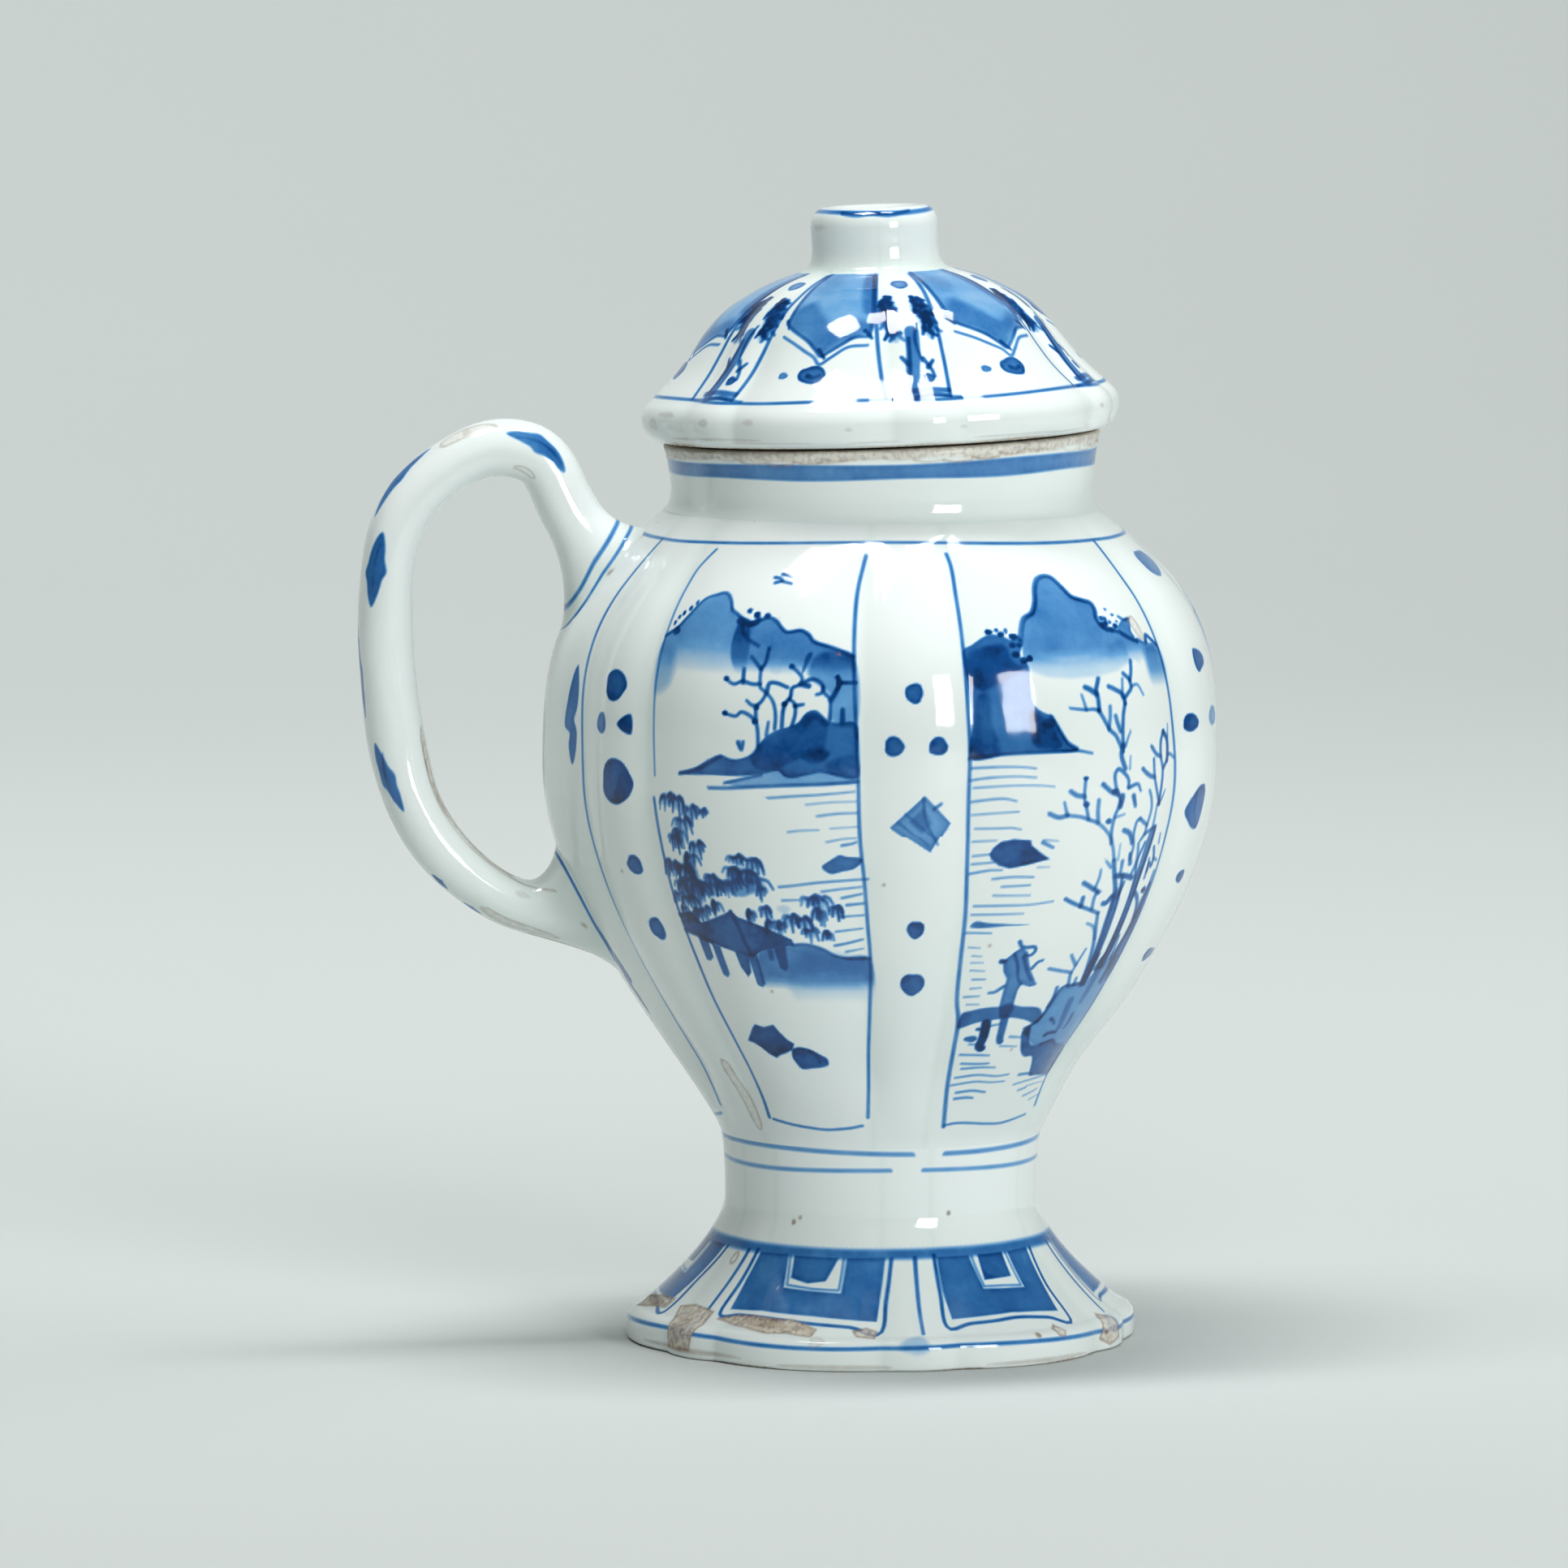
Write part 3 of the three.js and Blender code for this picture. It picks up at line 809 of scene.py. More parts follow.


# %% [markdown]
# ## What is painted
# The drawings below are the common river views of this kind of ware, written as brush marks.
# The first view has a mountain, bare trees on a dark spit of land, water, bamboo and an open pavilion.


# %% View with the pavilion
def pavilion_view():
    marks = [
        patch("-19.6,89.3 -17,90.5 -15,92 -12.8,93.8 -10.5,94.4 -8,94.7 -6.3,93.9 -4.8,92.6 -2.5,92 "
              "-1,91.3 0,88 -1,84 -10,83 -19.6,82", 0.44, 0.2, fade=(89.5, 84.2)),
        patch("-19.6,88 -16,87.5 -15.5,84 -19.6,82.5", 0.25, 0.9),
        patch("-3,91.6 -1,91.3 1,91.8 2.5,92.1 4,91.8 5.3,91 6.4,90.5 9,90.7 10.5,90.2 11.4,89.5 15,88.7 "
              "18.6,87.7 18.8,84 8,84.5 -1,85 -3.5,88", 0.52, 0.15, fade=(87.5, 85.2)),
        patch("11,85.6 12.2,87.8 18.6,87.7 19.3,79.8 15.5,79.8 15,83", 0.4, 0.35),
        brush("-19.6,89.3 -17,90.4 -15,92 -12.8,93.8 -10.5,94.4 -8,94.7 -6.3,93.9 -5.4,92.9 -4,92.4 "
              "-2.4,91.8", 0.3, 0.62, 0),
        brush("-1,91.4 1,91.8 2.5,92.1 4,91.8 5.3,91 6.4,90.5 9,90.7 10.5,90.2 11.4,89.5 15,88.7 "
              "18.6,87.7", 0.32, 0.7, 0),
        brush("-2.6,91.4 -1.8,90.3 -0.5,89.5 1.6,88.8", 0.4, 0.6),
        brush("-2.9,91.6 -1.8,91.5 -0.6,91.3 0.4,91.5", 0.75, 0.8, 0.3),
        brush("0.1,92.3 0.8,91.8", 0.5, 0.8),
        *spots("-1.6,92.8,0.5,0.3,0.66 0.1,92.4,0.6,0.35,0.85 2.2,92.3,0.6,0.3,0.85 "
               "-18.2,90.9,0.35,0.3,0.6 -17.6,91.6,0.4,0.25,0.6 -16.7,92.1,0.4,0.3,0.7 "
               "-15.4,92.7,0.45,0.3,0.7 -14.3,93.4,0.35,0.3,0.6 -17,90,0.9,0.5,0.5"),
        # birds
        *strokes("1.5,96.7 2.6,96.6 3.3,96.3 5.3,96.05 / 1.9,96.1 3.3,96.3", 0.34, 0.7),
        brush("3,97.1 4.3,97 5.8,96.7", 0.38, 0.75), brush("4.5,97.7 5.7,97.5 7.6,97", 0.34, 0.75),
        brush("7,97.9 8.4,97.9 9.1,97.2", 0.3, 0.6),
        # bare trees
        patch("9.9,85.6 10.6,88 11.5,88.1 10.6,86.4", 0.55),
        *strokes("2.9,76.5 2.8,78.5 2.4,80.3 2.4,81.6 3.3,82.3 3.9,83.3 2.9,83.9 2.7,85 2.7,86.2 / "
                 "6.9,79.2 7.1,81.4 7.5,82.2 8.2,82.9 8.4,83.9 9.7,84.4 10,85.1 9.1,85.9 8,86.5", 0.34,
                 0.72),
        *strokes("2.7,86.2 3.3,86.7 3.7,88.6 / 2.7,86.1 1.7,86.8 0.7,87.5 / 14.9,80.2 15,81.6 14.9,82.6 "
                 "13.9,83.4 13.6,84.2", 0.36, 0.72),
        *strokes("2.8,84.3 1.2,84.3 -0.4,84.6 -2,84.2 -3.7,84.8 / 2.3,79.9 1.3,80.5 -0.3,80.9 -1.2,80.4 "
                 "-3.5,80.7", 0.33, 0.72),
        brush("-0.3,84.4 -0.4,86", 0.34, 0.75, 0),
        *strokes("2.5,81.7 1.5,81.8 0.6,82.3 / 8.6,79.4 9.1,80.8 9,82 8.1,82.6", 0.33, 0.7),
        brush("5.7,79 5.8,80.5 5.4,82 4.6,82.9 3.9,83.3", 0.32, 0.7),
        brush("4.1,83.3 4.4,84.4 5.6,84.5 7.6,84", 0.38, 0.75), brush("4.3,78.2 4.6,79.8", 0.33, 0.65),
        brush("9.9,84.4 11.2,84.2", 0.45, 0.78, 0),
        brush("10.3,84.6 11.6,85 12.8,84.8 13.6,84.2 13.4,83.4 12.6,83.2", 0.35, 0.7),
        brush("9,81.8 10.4,82", 0.36, 0.7), brush("15,82.5 15.8,83.5 16.4,84.6 16,85.3", 0.42, 0.78, 0),
        brush("16.2,84.6 19.2,84.6", 0.34, 0.75), brush("17,79.9 17,81.4", 0.5, 0.78),
        *spots("-3.5,84.8,0.5,0.3,0.7 2.4,81.5,0.5,0.3,0.7 -3.3,80.7,0.5,0.3,0.7 2.2,79.8,0.5,0.35,0.75 "
               "8.1,86.5,0.5,0.3,0.7 7.2,82,0.5,0.3,0.7"),
        # spit of land
        patch("-12.8,73 -9,73.9 -6.5,74.9 -4,75.6 -2.2,75.2 -0.5,75.2 2,76 3,77 4.2,78 6,78.8 8.5,79.4 "
              "9.8,79.9 11,81 12.6,81.3 14.5,80.1 16,79.8 19.3,79.7 19.6,76 19.7,73.2 13.5,73.8 11.5,73.5 "
              "9,73.1 7.4,73.3 6.4,73.9 3.5,73.5 0,73.2 -6,73.1", 0.62, 0.12, rim=0.18),
        patch("1.5,75.4 3.5,77.3 6,78.5 9,79.2 11,80.8 13,80.9 14.5,79.8 13.5,76 10.5,75.6 7,74.5 3,74",
              0.42, 0.3),
        patch("10.2,75.8 12.5,76.8 14.8,76.2 14,75.3 11.5,75", 0.55, 0.35),
        patch("14,74.6 16,75.6 19.5,75.8 19.6,73.6 16,73.9", 0.3, 0.3),
        patch("-3.2,72.3 0,72.9 3.5,73.5 6.3,74 9,73.1 13.5,73.8 19.6,73.2 19.7,72.7 13,72.4 5,72.2 "
              "0,71.8", 0.32, 0.1),
        brush("-12.6,73 -9,73.6 -6,74.6 -4,75.4", 0.35, 0.6, 0.2),
        brush("10.8,79.6 12.4,80.6 14.4,79.6", 0.5, 0.6), brush("11.6,76.2 12.6,75.6", 0.5, 0.7),
        brush("-6.4,71.5 -3,71.6 2,71.9 8,72.2 14,72.4 19.6,72.7", 0.3, 0.62, 0.1),
        brush("-3.3,72.2 -1,72.6 3.5,73.4", 0.26, 0.55),
        # water
        spot(5.8, 56.8, 1.3, 0.55, 0.16, 0, soft=0.4),
        patch("13.3,62.2 14.5,62.9 15.6,63.4 16.4,63.7 17.4,63.5 20.2,63.2 20.1,62.8 18.8,62 17,61.7 "
              "14.6,61.4", 0.55, 0.12, rim=0.2),
        *strokes("4.5,70.6 9,70.9 13,71.1 19,71.5 / 12.8,68.5 16,68.8 19.5,68.9", 0.24, 0.42),
        brush("11,69.9 15,70.2 19.3,70.3", 0.22, 0.3), brush("7.8,66.5 10,66.7 13,66.8", 0.22, 0.34),
        brush("15,67 19.5,67.2", 0.2, 0.28), brush("14.2,65.3 17,65.7 19.2,65.8", 0.2, 0.35),
        *strokes("16.8,64.9 18.5,65.1 19.3,65.3 / 5.8,57.9 8.5,58", 0.24, 0.5),
        brush("5.5,59.6 8,59.8 12,60.2 17,60.5 21.3,60.7", 0.26, 0.5),
        brush("13,59.1 16,59.4 20,59.7", 0.24, 0.48), brush("16.5,58.3 20,58.8", 0.26, 0.55),
        brush("17.3,57.4 20.3,57.6", 0.28, 0.58), brush("16,55.9 20.3,56.1", 0.22, 0.5),
        brush("15,54 17.5,54.2 20,54.4", 0.22, 0.48), brush("14.6,52.2 17,52.5 20,53", 0.26, 0.52),
        brush("16.7,51.4 20,51.8", 0.22, 0.4),
        # small bird and ground
        patch("-1,50.8 2,51.6 7,52.2 11,52 14,51 16,50.6 21.3,50.5 21.4,45 -1,45.6", 0.56, 0.3,
              fade=(48.2, 46)),
        patch("5,50 21.3,50 21.4,43 5,43.5", 0.12, 0.8, fade=(46.5, 43.6)),
        brush("-0.7,77.2 -0.1,76.4 0.2,77.3", 0.4, 0.7),
        brush("6.5,52.2 9,52.3 11,52 12.5,51.6 14,51 16,50.6 21.3,50.5", 0.3, 0.62, 0),
    ]
    for x, y, reach, leaves in (
        (-15.8, 70.3, 1.5, 5), (-13.3, 70.2, 1.7, 4), (-10.4, 69.1, 1.6, 5), (-7.6, 68.7, 0.7, 2),
        (-12.2, 67.6, 1.7, 6), (-13.6, 66.2, 1.6, 6), (-14.6, 65.4, 1.5, 5), (-9.7, 64.7, 1.6, 5),
        (-11.7, 63.2, 1.7, 6), (-16.8, 62.2, 1.5, 5), (-15, 62, 1.3, 4), (-12.4, 61.8, 1.9, 7),
        (-13, 60.2, 2.0, 7), (-11, 59.6, 1.8, 6), (-7.3, 60.8, 1.7, 6), (-8.8, 59.6, 1.6, 5),
        (-15, 59.6, 1.6, 5), (-5, 60.1, 1.5, 4), (-2, 63.3, 1.0, 4), (1.2, 63.1, 1.5, 5),
        (-2.6, 61.9, 1.5, 6),
        (0.3, 61.6, 1.7, 4), (-3.3, 60.2, 1.5, 5), (1.1, 60.6, 1.9, 2), (2.4, 59.6, 1.0, 2),
        (-16.4, 58.2, 1.3, 4), (-13.8, 57.8, 1.4, 6), (-12.4, 56.3, 1.2, 5), (-10.4, 56.5, 1.2, 4),
        (-7.7, 57.4, 1.2, 5), (-15.8, 56.4, 1.0, 3), (-0.6, 56.5, 1.2, 4), (2.3, 57, 1.1, 4),
        (3.2, 55.4, 1.2, 4), (5, 55.2, 1.1, 4), (7, 56.1, 1.4, 4), (9, 55.8, 1.4, 5), (10.2, 54.4, 1.2, 4),
        (11, 58.5, 1.2, 4), (12.5, 58.5, 1.6, 4), (12.2, 57, 1.5, 4), (15.4, 57.3, 1.2, 4),
        (13.4, 54, 0.9, 3),
    ):
        marks += drooping(x, y, reach, leaves)
    marks += [
        patch("-14.2,57.2 -14.2,60 -12.8,62.4 -10.6,61.6 -10,58.6 -10.6,57 -12.6,56.6", 0.4, 0.35),
        patch("-4.2,58.8 -4,61.2 -2,61.8 0.8,61.5 1,59.2 -0.8,58.3 -2.6,58.2", 0.4, 0.25),
        patch("-9.8,58.2 -9.2,60 -7.4,60.6 -6.2,59.6 -7,58.2", 0.35, 0.3),
        # pavilion
        patch("-17.9,55.2 -14,55.6 -12.2,54.4 -9,55.1 -6.2,55.8 -4.7,56.3 -3.4,55.5 -1,55 1,54.5 3.2,53.9 "
              "6.5,52.9 6.8,52.2 4,51.9 0,51.3 -2.2,50.5 -6,51 -9,51.5 -12,52.1 -14.2,52.7 -17.4,53.2",
              0.74, 0.12, rim=0.14, curve=False),
        patch("-14.4,52.5 -12,52.2 -12,50 -13.2,49.5 -14.2,49.6", 0.62, curve=False, rim=0.1),
        patch("-11.2,51.8 -9.3,51.5 -9.1,48 -9.9,47.5 -10.9,47.8", 0.6, curve=False, rim=0.12),
        patch("-6,51 -3,50.8 -3.6,48.4 -4.6,47.8 -5.6,49", 0.7, curve=False, rim=0.12),
        patch("-3.2,50.7 -1.2,51 -1,47 -1.9,46.5 -2.9,46.8", 0.62, curve=False, rim=0.12),
        patch("2.7,51.7 5,52 4.8,49.2 4,48.8 3.1,49.2", 0.66, curve=False, rim=0.12),
        patch("1.2,51.5 2.4,51.6 2.2,50.1 1.3,50.1", 0.55, curve=False),
        brush("-4.7,56.2 -3.8,54.4 -3.1,52.2 -2.3,50.7", 0.34, 0.8, 0),
        brush("-17.9,55.1 -14,55.6", 0.4, 0.7), brush("-17.5,53.2 -14.2,52.7 -11,51.9", 0.5, 0.7),
        brush("-17.6,54.2 -14.6,54.6 -12.4,54.3", 0.3, 0.5),
        # rocks
        patch("-11.4,39.1 -9.8,40 -8.3,40.9 -7.2,41.4 -5,41.1 -2.2,41.5 -1.2,40.6 0.3,39.6 1.8,39.1 "
              "0.9,38.3 -1.2,37.8 -3,37.5 -4.3,37.1 -6,37.5 -8,38.4 -9.6,38.9", 0.8, 0.16, rim=0.1,
              curve=False),
        patch("0.4,37.3 0.8,38.2 2.2,38.6 4.2,38.6 6,38.3 8,37.7 9.6,37.1 9.6,36.5 8,36.1 5,35.9 2,35.8 "
              "1,36.5", 0.74, 0.15, rim=0.14),
        brush("5.4,38.2 7.2,37.4 7.4,36.6", 0.3, 0.6),
    ]
    return marks


# %% [markdown]
# The second view has a high peak, a dark headland, bare branching trees on a rocky bank, and a plain
# figure on a bridge over still water.


# %% View with the bridge
def bridge_view():
    marks = [
        patch("-11,86 -10.6,89.6 -10,91 -9,92 -7.2,92.6 -6,93.8 -5,95.2 -3.6,96.2 -1.6,96.6 0,96.4 "
              "1.2,95.3 2.2,94.2 4,93.7 6,93.2 6.3,92.4 5.8,91.4 6.4,90.4 8,89.9 10,89.8 12,88.8 14,88.6 "
              "16,87.9 18.4,87.9 20.1,87.2 19.8,84 8,84.6 -4,85 -9.8,85", 0.5, 0.12, fade=(88.6, 85.4)),
        patch("15,87.5 19.9,87 19.6,81.5 15.2,82.4", 0.42, 0.7, fade=(85.5, 82)),
        patch("-9.8,87.6 -6,87 0,86.8 5,87.6 9.8,88.8 9.8,86 -9.8,85.6", 0.14, 0.5),
        patch("9.8,90 11.4,90.9 13.9,91.1 13.6,90.4 13,89.6 13.4,88.9 12,88.8 10.6,89.3", 0.5, 0.1,
              rim=0.12),
        brush("-11,89.4 -10.4,90.6 -9.4,91.8 -7.4,92.5 -6,93.8 -5,95.2 -3.6,96.2 -1.6,96.6 0,96.4 1.2,95.3 "
              "2.2,94.2 4,93.7 6,93.2 6.2,92.6 5.7,91.4 6.4,90.4 7.5,90.2", 0.46, 0.62, 0),
        brush("7,90.1 9.4,89.8 10.6,89.3 12,88.8 13.6,88.4", 0.42, 0.7, 0),
        brush("11.2,91.4 12.3,91 13.8,91.1", 0.32, 0.6),
        brush("16.2,88.2 17,88.9 18.2,88.4 19.6,87.6", 0.45, 0.75),
        brush("14,88.6 15.8,88 16.6,88", 0.3, 0.5),
        *spots("6.8,91.4,0.5,0.3,0.66 7.6,91.3,0.4,0.3,0.66 6.5,90.6,0.6,0.4,0.9 7.4,90.8,0.5,0.3,0.85 "
               "8.4,90.9,0.4,0.2,0.6 9.4,90.4,0.6,0.3,0.8 8.7,92.4,0.35,0.15,0.5 9.8,91.7,0.4,0.15,0.55 "
               "10.2,90.9,0.3,0.15,0.5 8.2,90,0.5,0.3,0.85"),
        # headland
        patch("-21.8,88.2 -20,88.9 -18,89.7 -16.4,90.1 -14,89.8 -12.6,89.4 -11.4,89.9 -10.6,89.2 "
              "-11.6,87.6 -10.4,86.4 -10.4,84.2 -10.2,82 -9.4,81.2 -8,80.6 -6.8,80.3 -6,79.2 -5,78 "
              "-3.8,76.8 -2,76 -8,75.9 -12,75.9 -16,75.7 -21.2,75.4 -20.8,80 -21.4,85", 0.6, 0.13,
              rim=0.12),
        patch("-21.4,87.6 -18,88.6 -14,88.8 -13,87 -11,86.2 -13,85.2 -16,84.2 -19,83.5 -21.2,85", 0.5, 0.4),
        patch("-20.4,79.4 -19.8,82.8 -17.8,83.2 -17.6,80 -16,75.9 -20.8,75.8", 0.35, 0.3),
        patch("-10.6,81 -8.4,80.2 -7,79.6 -6,78 -5.2,76.6 -7.6,76.2 -10.4,77", 0.5, 0.35),
        brush("-21.4,75.4 -16,75.8 -10,75.9 -4,75.9 -2,75.9 0.6,75.5", 0.28, 0.6, 0.2),
        brush("-7,80.2 -6.2,79.4 -5.2,78.2 -4,77 -2.2,76.2", 0.34, 0.62),
        *spots("-12.2,89.8,0.8,0.35,0.9 -12.6,88.8,0.6,0.3,0.8 -11.4,88.8,0.5,0.25,0.8 "
               "-12.3,87.7,0.7,0.35,0.9 -11,87,0.7,0.35,0.75 -9.9,87.2,0.55,0.35,0.9 "
               "-16.6,90.4,0.7,0.3,0.85 -15.1,90.6,0.35,0.2,0.7 -14.4,90.1,0.6,0.3,0.8 "
               "-13.4,90.5,0.3,0.3,0.6 -7.4,79.4,1.2,0.6,0.5"),
        # water
        patch("-19.4,54.5 -18.6,55.1 -16,54.9 -12,54.7 -8,54.5 -12,54.5 -18.6,54.3", 0.62, 0.12),
        patch("-17.4,63.6 -16.8,64.4 -15.6,65.1 -13.4,65.4 -10.4,65.2 -10.2,64.6 -8.4,63.6 -6.6,62.8 "
              "-8,62.6 -10.4,62.2 -13.6,61.8 -15.6,62.2 -17,63", 0.76, 0.12, rim=0.12, curve=False),
        *strokes("-21,74.2 -16,74.3 -12,74.2 -9.9,74 / -21,70.1 -17,70.4 -15,70.4 -13.3,70.1 / -20.3,63.4 "
                 "-17.4,63.6 / -20.3,62.4 -16.4,62.6 / -20,53.7 -15.2,53.6", 0.24, 0.42),
        *strokes("-21.4,72.7 -18,73 -13,73.1 -9.9,72.9 / -14.6,59.5 -9.5,59.6 / -19.2,57.1 -14,57.1 "
                 "-9,57.1 -4.4,57.4", 0.24, 0.4),
        *strokes("-20.6,71.8 -14,72 -9,71.9 -6.6,71.7 / -20.2,66.8 -16,66.8 -13.6,66.8 -12.3,66.6 / "
                 "-20.5,65.2 -16.4,65.3", 0.22, 0.36),
        brush("-20.8,68.5 -16,68.7 -12.8,68.8", 0.22, 0.34),
        brush("-20.6,61.2 -17,61.6 -15,61.6", 0.24, 0.46),
        brush("-16.4,60.5 -13,60.7 -9.1,60.6", 0.24, 0.44), brush("-15.9,58.4 -9.2,58.3", 0.26, 0.3),
        brush("-19.4,56 -9.8,56", 0.24, 0.38),
        *strokes("-19,51.8 -16.8,51.7 / -18,50.7 -16.2,50.6 / -17.8,48.8 -15,48.7", 0.2, 0.36),
        brush("-18,49.8 -15.6,49.8", 0.2, 0.34), brush("-17,47.6 -14.4,47.6", 0.22, 0.42),
        brush("-17,46.4 -14.8,46.5", 0.2, 0.42), brush("-18,45.3 -14.8,45.4", 0.22, 0.46),
        brush("-17,44.3 -14.4,44.3", 0.2, 0.38), brush("-8.2,64.9 -6.2,64.2", 0.34, 0.5),
        brush("-8,65.2 -5.4,65", 0.22, 0.3), brush("-8.6,61.8 -6.4,61.8", 0.26, 0.22),
        # bridge and figure
        patch("-17.6,43 -16,43.4 -13,43.8 -9.8,43.9 -6,44 -4.5,43.8 0.8,43.3 2.2,42.2 1.8,41.4 -2,42 "
              "-6,42.4 -10,42.2 -13.6,41.9 -16.6,41.3 -17.8,41.2", 0.6, 0.14, rim=0.1),
        patch("-17.8,43 -15.8,43.4 -15.8,41.6 -17.8,41.2", 0.2, 0.4),
        patch("-11.6,49.9 -9.4,51.2 -8.4,51.6 -7,51 -6.2,49.8 -5.2,48.6 -3.6,47.4 -2.6,46.6 -4,46.4 "
              "-6.2,46.8 -6.6,46 -6.4,43.6 -6.8,42.6 -8.6,42.6 -9.6,44 -9.8,46.4 -9.8,47.6 -11,48.6",
              0.52, 0.13, rim=0.2, curve=False),
        patch("-9.4,43.6 -8.6,44.2 -6.4,44.2 -5.8,43.4 -6.8,42.4 -8.6,42.4", 0.5, 0.2),
        brush("-9.6,50.8 -8.4,49.4 -7.4,47.6 -6.2,46.8", 0.28, 0.62),
        brush("-7.6,50.4 -6,48.6 -4.2,47.2", 0.28, 0.6),
        brush("-9.2,52.4 -8.6,51.8 -7.6,51.6 -5.8,51.6 -5.4,51.2 -6,50.6 -7.4,50.6", 0.36, 0.7),
        brush("-11.9,49.9 -11.2,49.9", 0.5, 0.85), brush("-5,48.8 -4,49.6 -3,49.8", 0.34, 0.62),
        brush("-10,46.6 -11.6,45.9 -12.8,45.8", 0.36, 0.62),
        brush("-7.4,42.6 -7,41 -6.6,39.6 -6.2,39.2", 0.75, 0.66, 0.2),
        brush("-11.4,41.8 -11,40 -11.2,38.7 -10.6,38.4", 0.85, 0.92, 0.1),
        brush("-13,41 -11.4,40.9", 0.34, 0.8), brush("-10.2,41.4 -7.8,41.6", 0.26, 0.46),
        brush("-13.8,39 -11.8,38.9", 0.3, 0.4), brush("-4,39.8 -1,39.6", 0.34, 0.34),
        brush("-5.6,38.6 -1,38.4", 0.26, 0.32),
        *strokes("-15.4,37.6 -11,37.5 -7.8,37.4 / -14.4,36.4 -10,36.3 -7,36.3", 0.28, 0.44),
        *strokes("-14,35.7 -9,35.8 -4.6,35.7 / -15,34.5 -9,34.8 -3,34.5 0.8,34.6", 0.26, 0.44),
        brush("-15.6,33.5 -9,33.9 -4,33.7 0.4,33.7", 0.24, 0.44),
        brush("-13.6,32.5 -9,32.7 -4.6,32.4", 0.3, 0.5), brush("-13.6,31.7 -10,31.8 -8,31.7", 0.32, 0.52),
        brush("4.6,34.4 7.6,34.4 9.6,34.2", 0.34, 0.5),
        brush("4.4,33.1 9,33.4 15,33.6 19.6,33.6", 0.26, 0.36), brush("7.4,32.2 10,32.4", 0.3, 0.36),
        brush("11,31.3 14,31.6 17,31.9", 0.32, 0.32), brush("15,30.6 19.4,31", 0.3, 0.26),
        brush("10,32.6 15,32.8 19.6,32.7", 0.24, 0.26), spot(-14, 39.7, 1.6, 0.38, 0.6),
        # bank and rocks
        patch("-0.8,40.2 0,41 1.6,41.8 3,43.4 3.8,45 4.4,45.8 6.6,46 9.2,46.2 9.6,50 11,50 10.6,46 12,48 "
              "12.6,52 14.4,52 14,48 16.6,52 18.6,60 19.4,60 19,46 19.2,38 14,37.8 11.4,38.2 10,38.7 "
              "6,38.4 3.8,38.4", 0.42, 0.14, rim=0.1, curve=False),
        patch("-1.2,40.4 -0.2,38.9 1.2,37.6 3,36.9 5.6,36.8 6.6,36.2 7.6,35.2 8.6,34.2 12,34 16,33.8 "
              "20.6,34 20.2,36.8 18.6,37.6 14,37.8 11.8,38.2 10.2,38.7 6.4,38.5 3.4,38.4 1.6,39.4 0.4,41",
              0.66, 0.14, rim=0.1),
        brush("2.9,46 3.1,44.8 2.6,43.4", 0.36, 0.6),
        brush("-1,40.8 0.4,41.2 2,42 3,43.6 4.2,45.8 6.8,46.1 9,46.2", 0.34, 0.62, 0),
        brush("5.2,41.8 6.4,41.4 7.2,41", 0.34, 0.55), brush("6.2,39.6 7.2,39.8 9.4,39.8", 0.5, 0.62),
        brush("8.6,44 9,42 9.6,40.4", 0.8, 0.36), brush("12,42 12.2,41 11.8,40.2", 0.4, 0.5),
        brush("12.4,49 13,47 12.6,43.6", 0.9, 0.3), brush("6.6,38.4 10,38.7 12.6,38 19,37.8", 0.3, 0.5),
        # trunks
        patch("8.8,46 10.6,46 10.4,52 9.8,57.6 8.6,58.4 8.4,54 8.8,50", 0.42, 0.2),
        patch("12.6,48 14.2,48 14.2,52 14.1,58 14.8,62 15.9,65.6 14.6,65.4 13,61 12.6,56", 0.5, 0.14,
              rim=0.14),
        patch("15.8,48 19.2,46 19.3,54 19.2,58.4 18.6,58.4 17,56 16.6,53", 0.4, 0.2),
        brush("9.6,46.2 9.4,50 8.8,54 8.4,58 7.2,60.2 6.4,62", 0.55, 0.62, 0.2),
        brush("10.2,46 10.2,50 9.9,54 9.6,58 9.2,60", 0.4, 0.58, 0.1),
        brush("9.4,46 8,50.6 6.4,54 5.9,55.4", 0.42, 0.55, 0.2),
        brush("12.8,50 12.8,55 12.7,59.4 12.2,61.6 13.4,63.8", 0.34, 0.6, 0.1),
        brush("13.8,50 13.8,56 14.2,60 15.2,63.4 15.9,65.6", 0.4, 0.62, 0.1),
        brush("16.2,46 16.8,51 18,55 18.8,58.2", 0.5, 0.62, 0.1), brush("11.8,48 12.6,49.6", 0.7, 0.6),
        brush("15.2,49 14.6,52", 0.34, 0.5), brush("17.2,46 17.6,49", 0.9, 0.3),
        brush("14.2,57.4 15.4,56.8 16.4,55.8 17.2,54", 0.5, 0.6, 0.1), spot(17, 57.6, 0.8, 0.4, 0.7),
        # branches
        brush("6.9,76.2 6.5,75 7.3,73.3", 0.5, 0.6, 0.1),
        *strokes("6.9,75.4 6.9,78 7.2,80 7.7,81.2 / 7.6,81.8 8.6,82.4 9.4,83 9.2,84 8.1,84.8 / 16.4,74.2 "
                 "15,74.6 13.7,75.6", 0.36, 0.62, 0),
        *strokes("7.7,81.2 7.4,82.2 5.8,83 4.6,83.4 / 2.3,80.6 2.2,82.2 2,83 2.7,84.4", 0.4, 0.66, 0),
        brush("7.2,82 7.7,84.2", 0.3, 0.5), brush("9.4,83.9 10,85 10.4,86.2", 0.36, 0.6, 0),
        brush("9.6,83.2 11,83.3 12.2,82", 0.28, 0.5),
        *strokes("6.4,76 5.4,77.4 4.2,78.2 2.9,79.8 2.2,80.6 / 11.2,66.9 12.4,66.3 13.2,66", 0.36, 0.58, 0),
        *strokes("2.2,80.6 1.2,80.8 -0.3,80.8 -3.4,81.1 / 17.3,61.6 18.8,61.2", 0.3, 0.58),
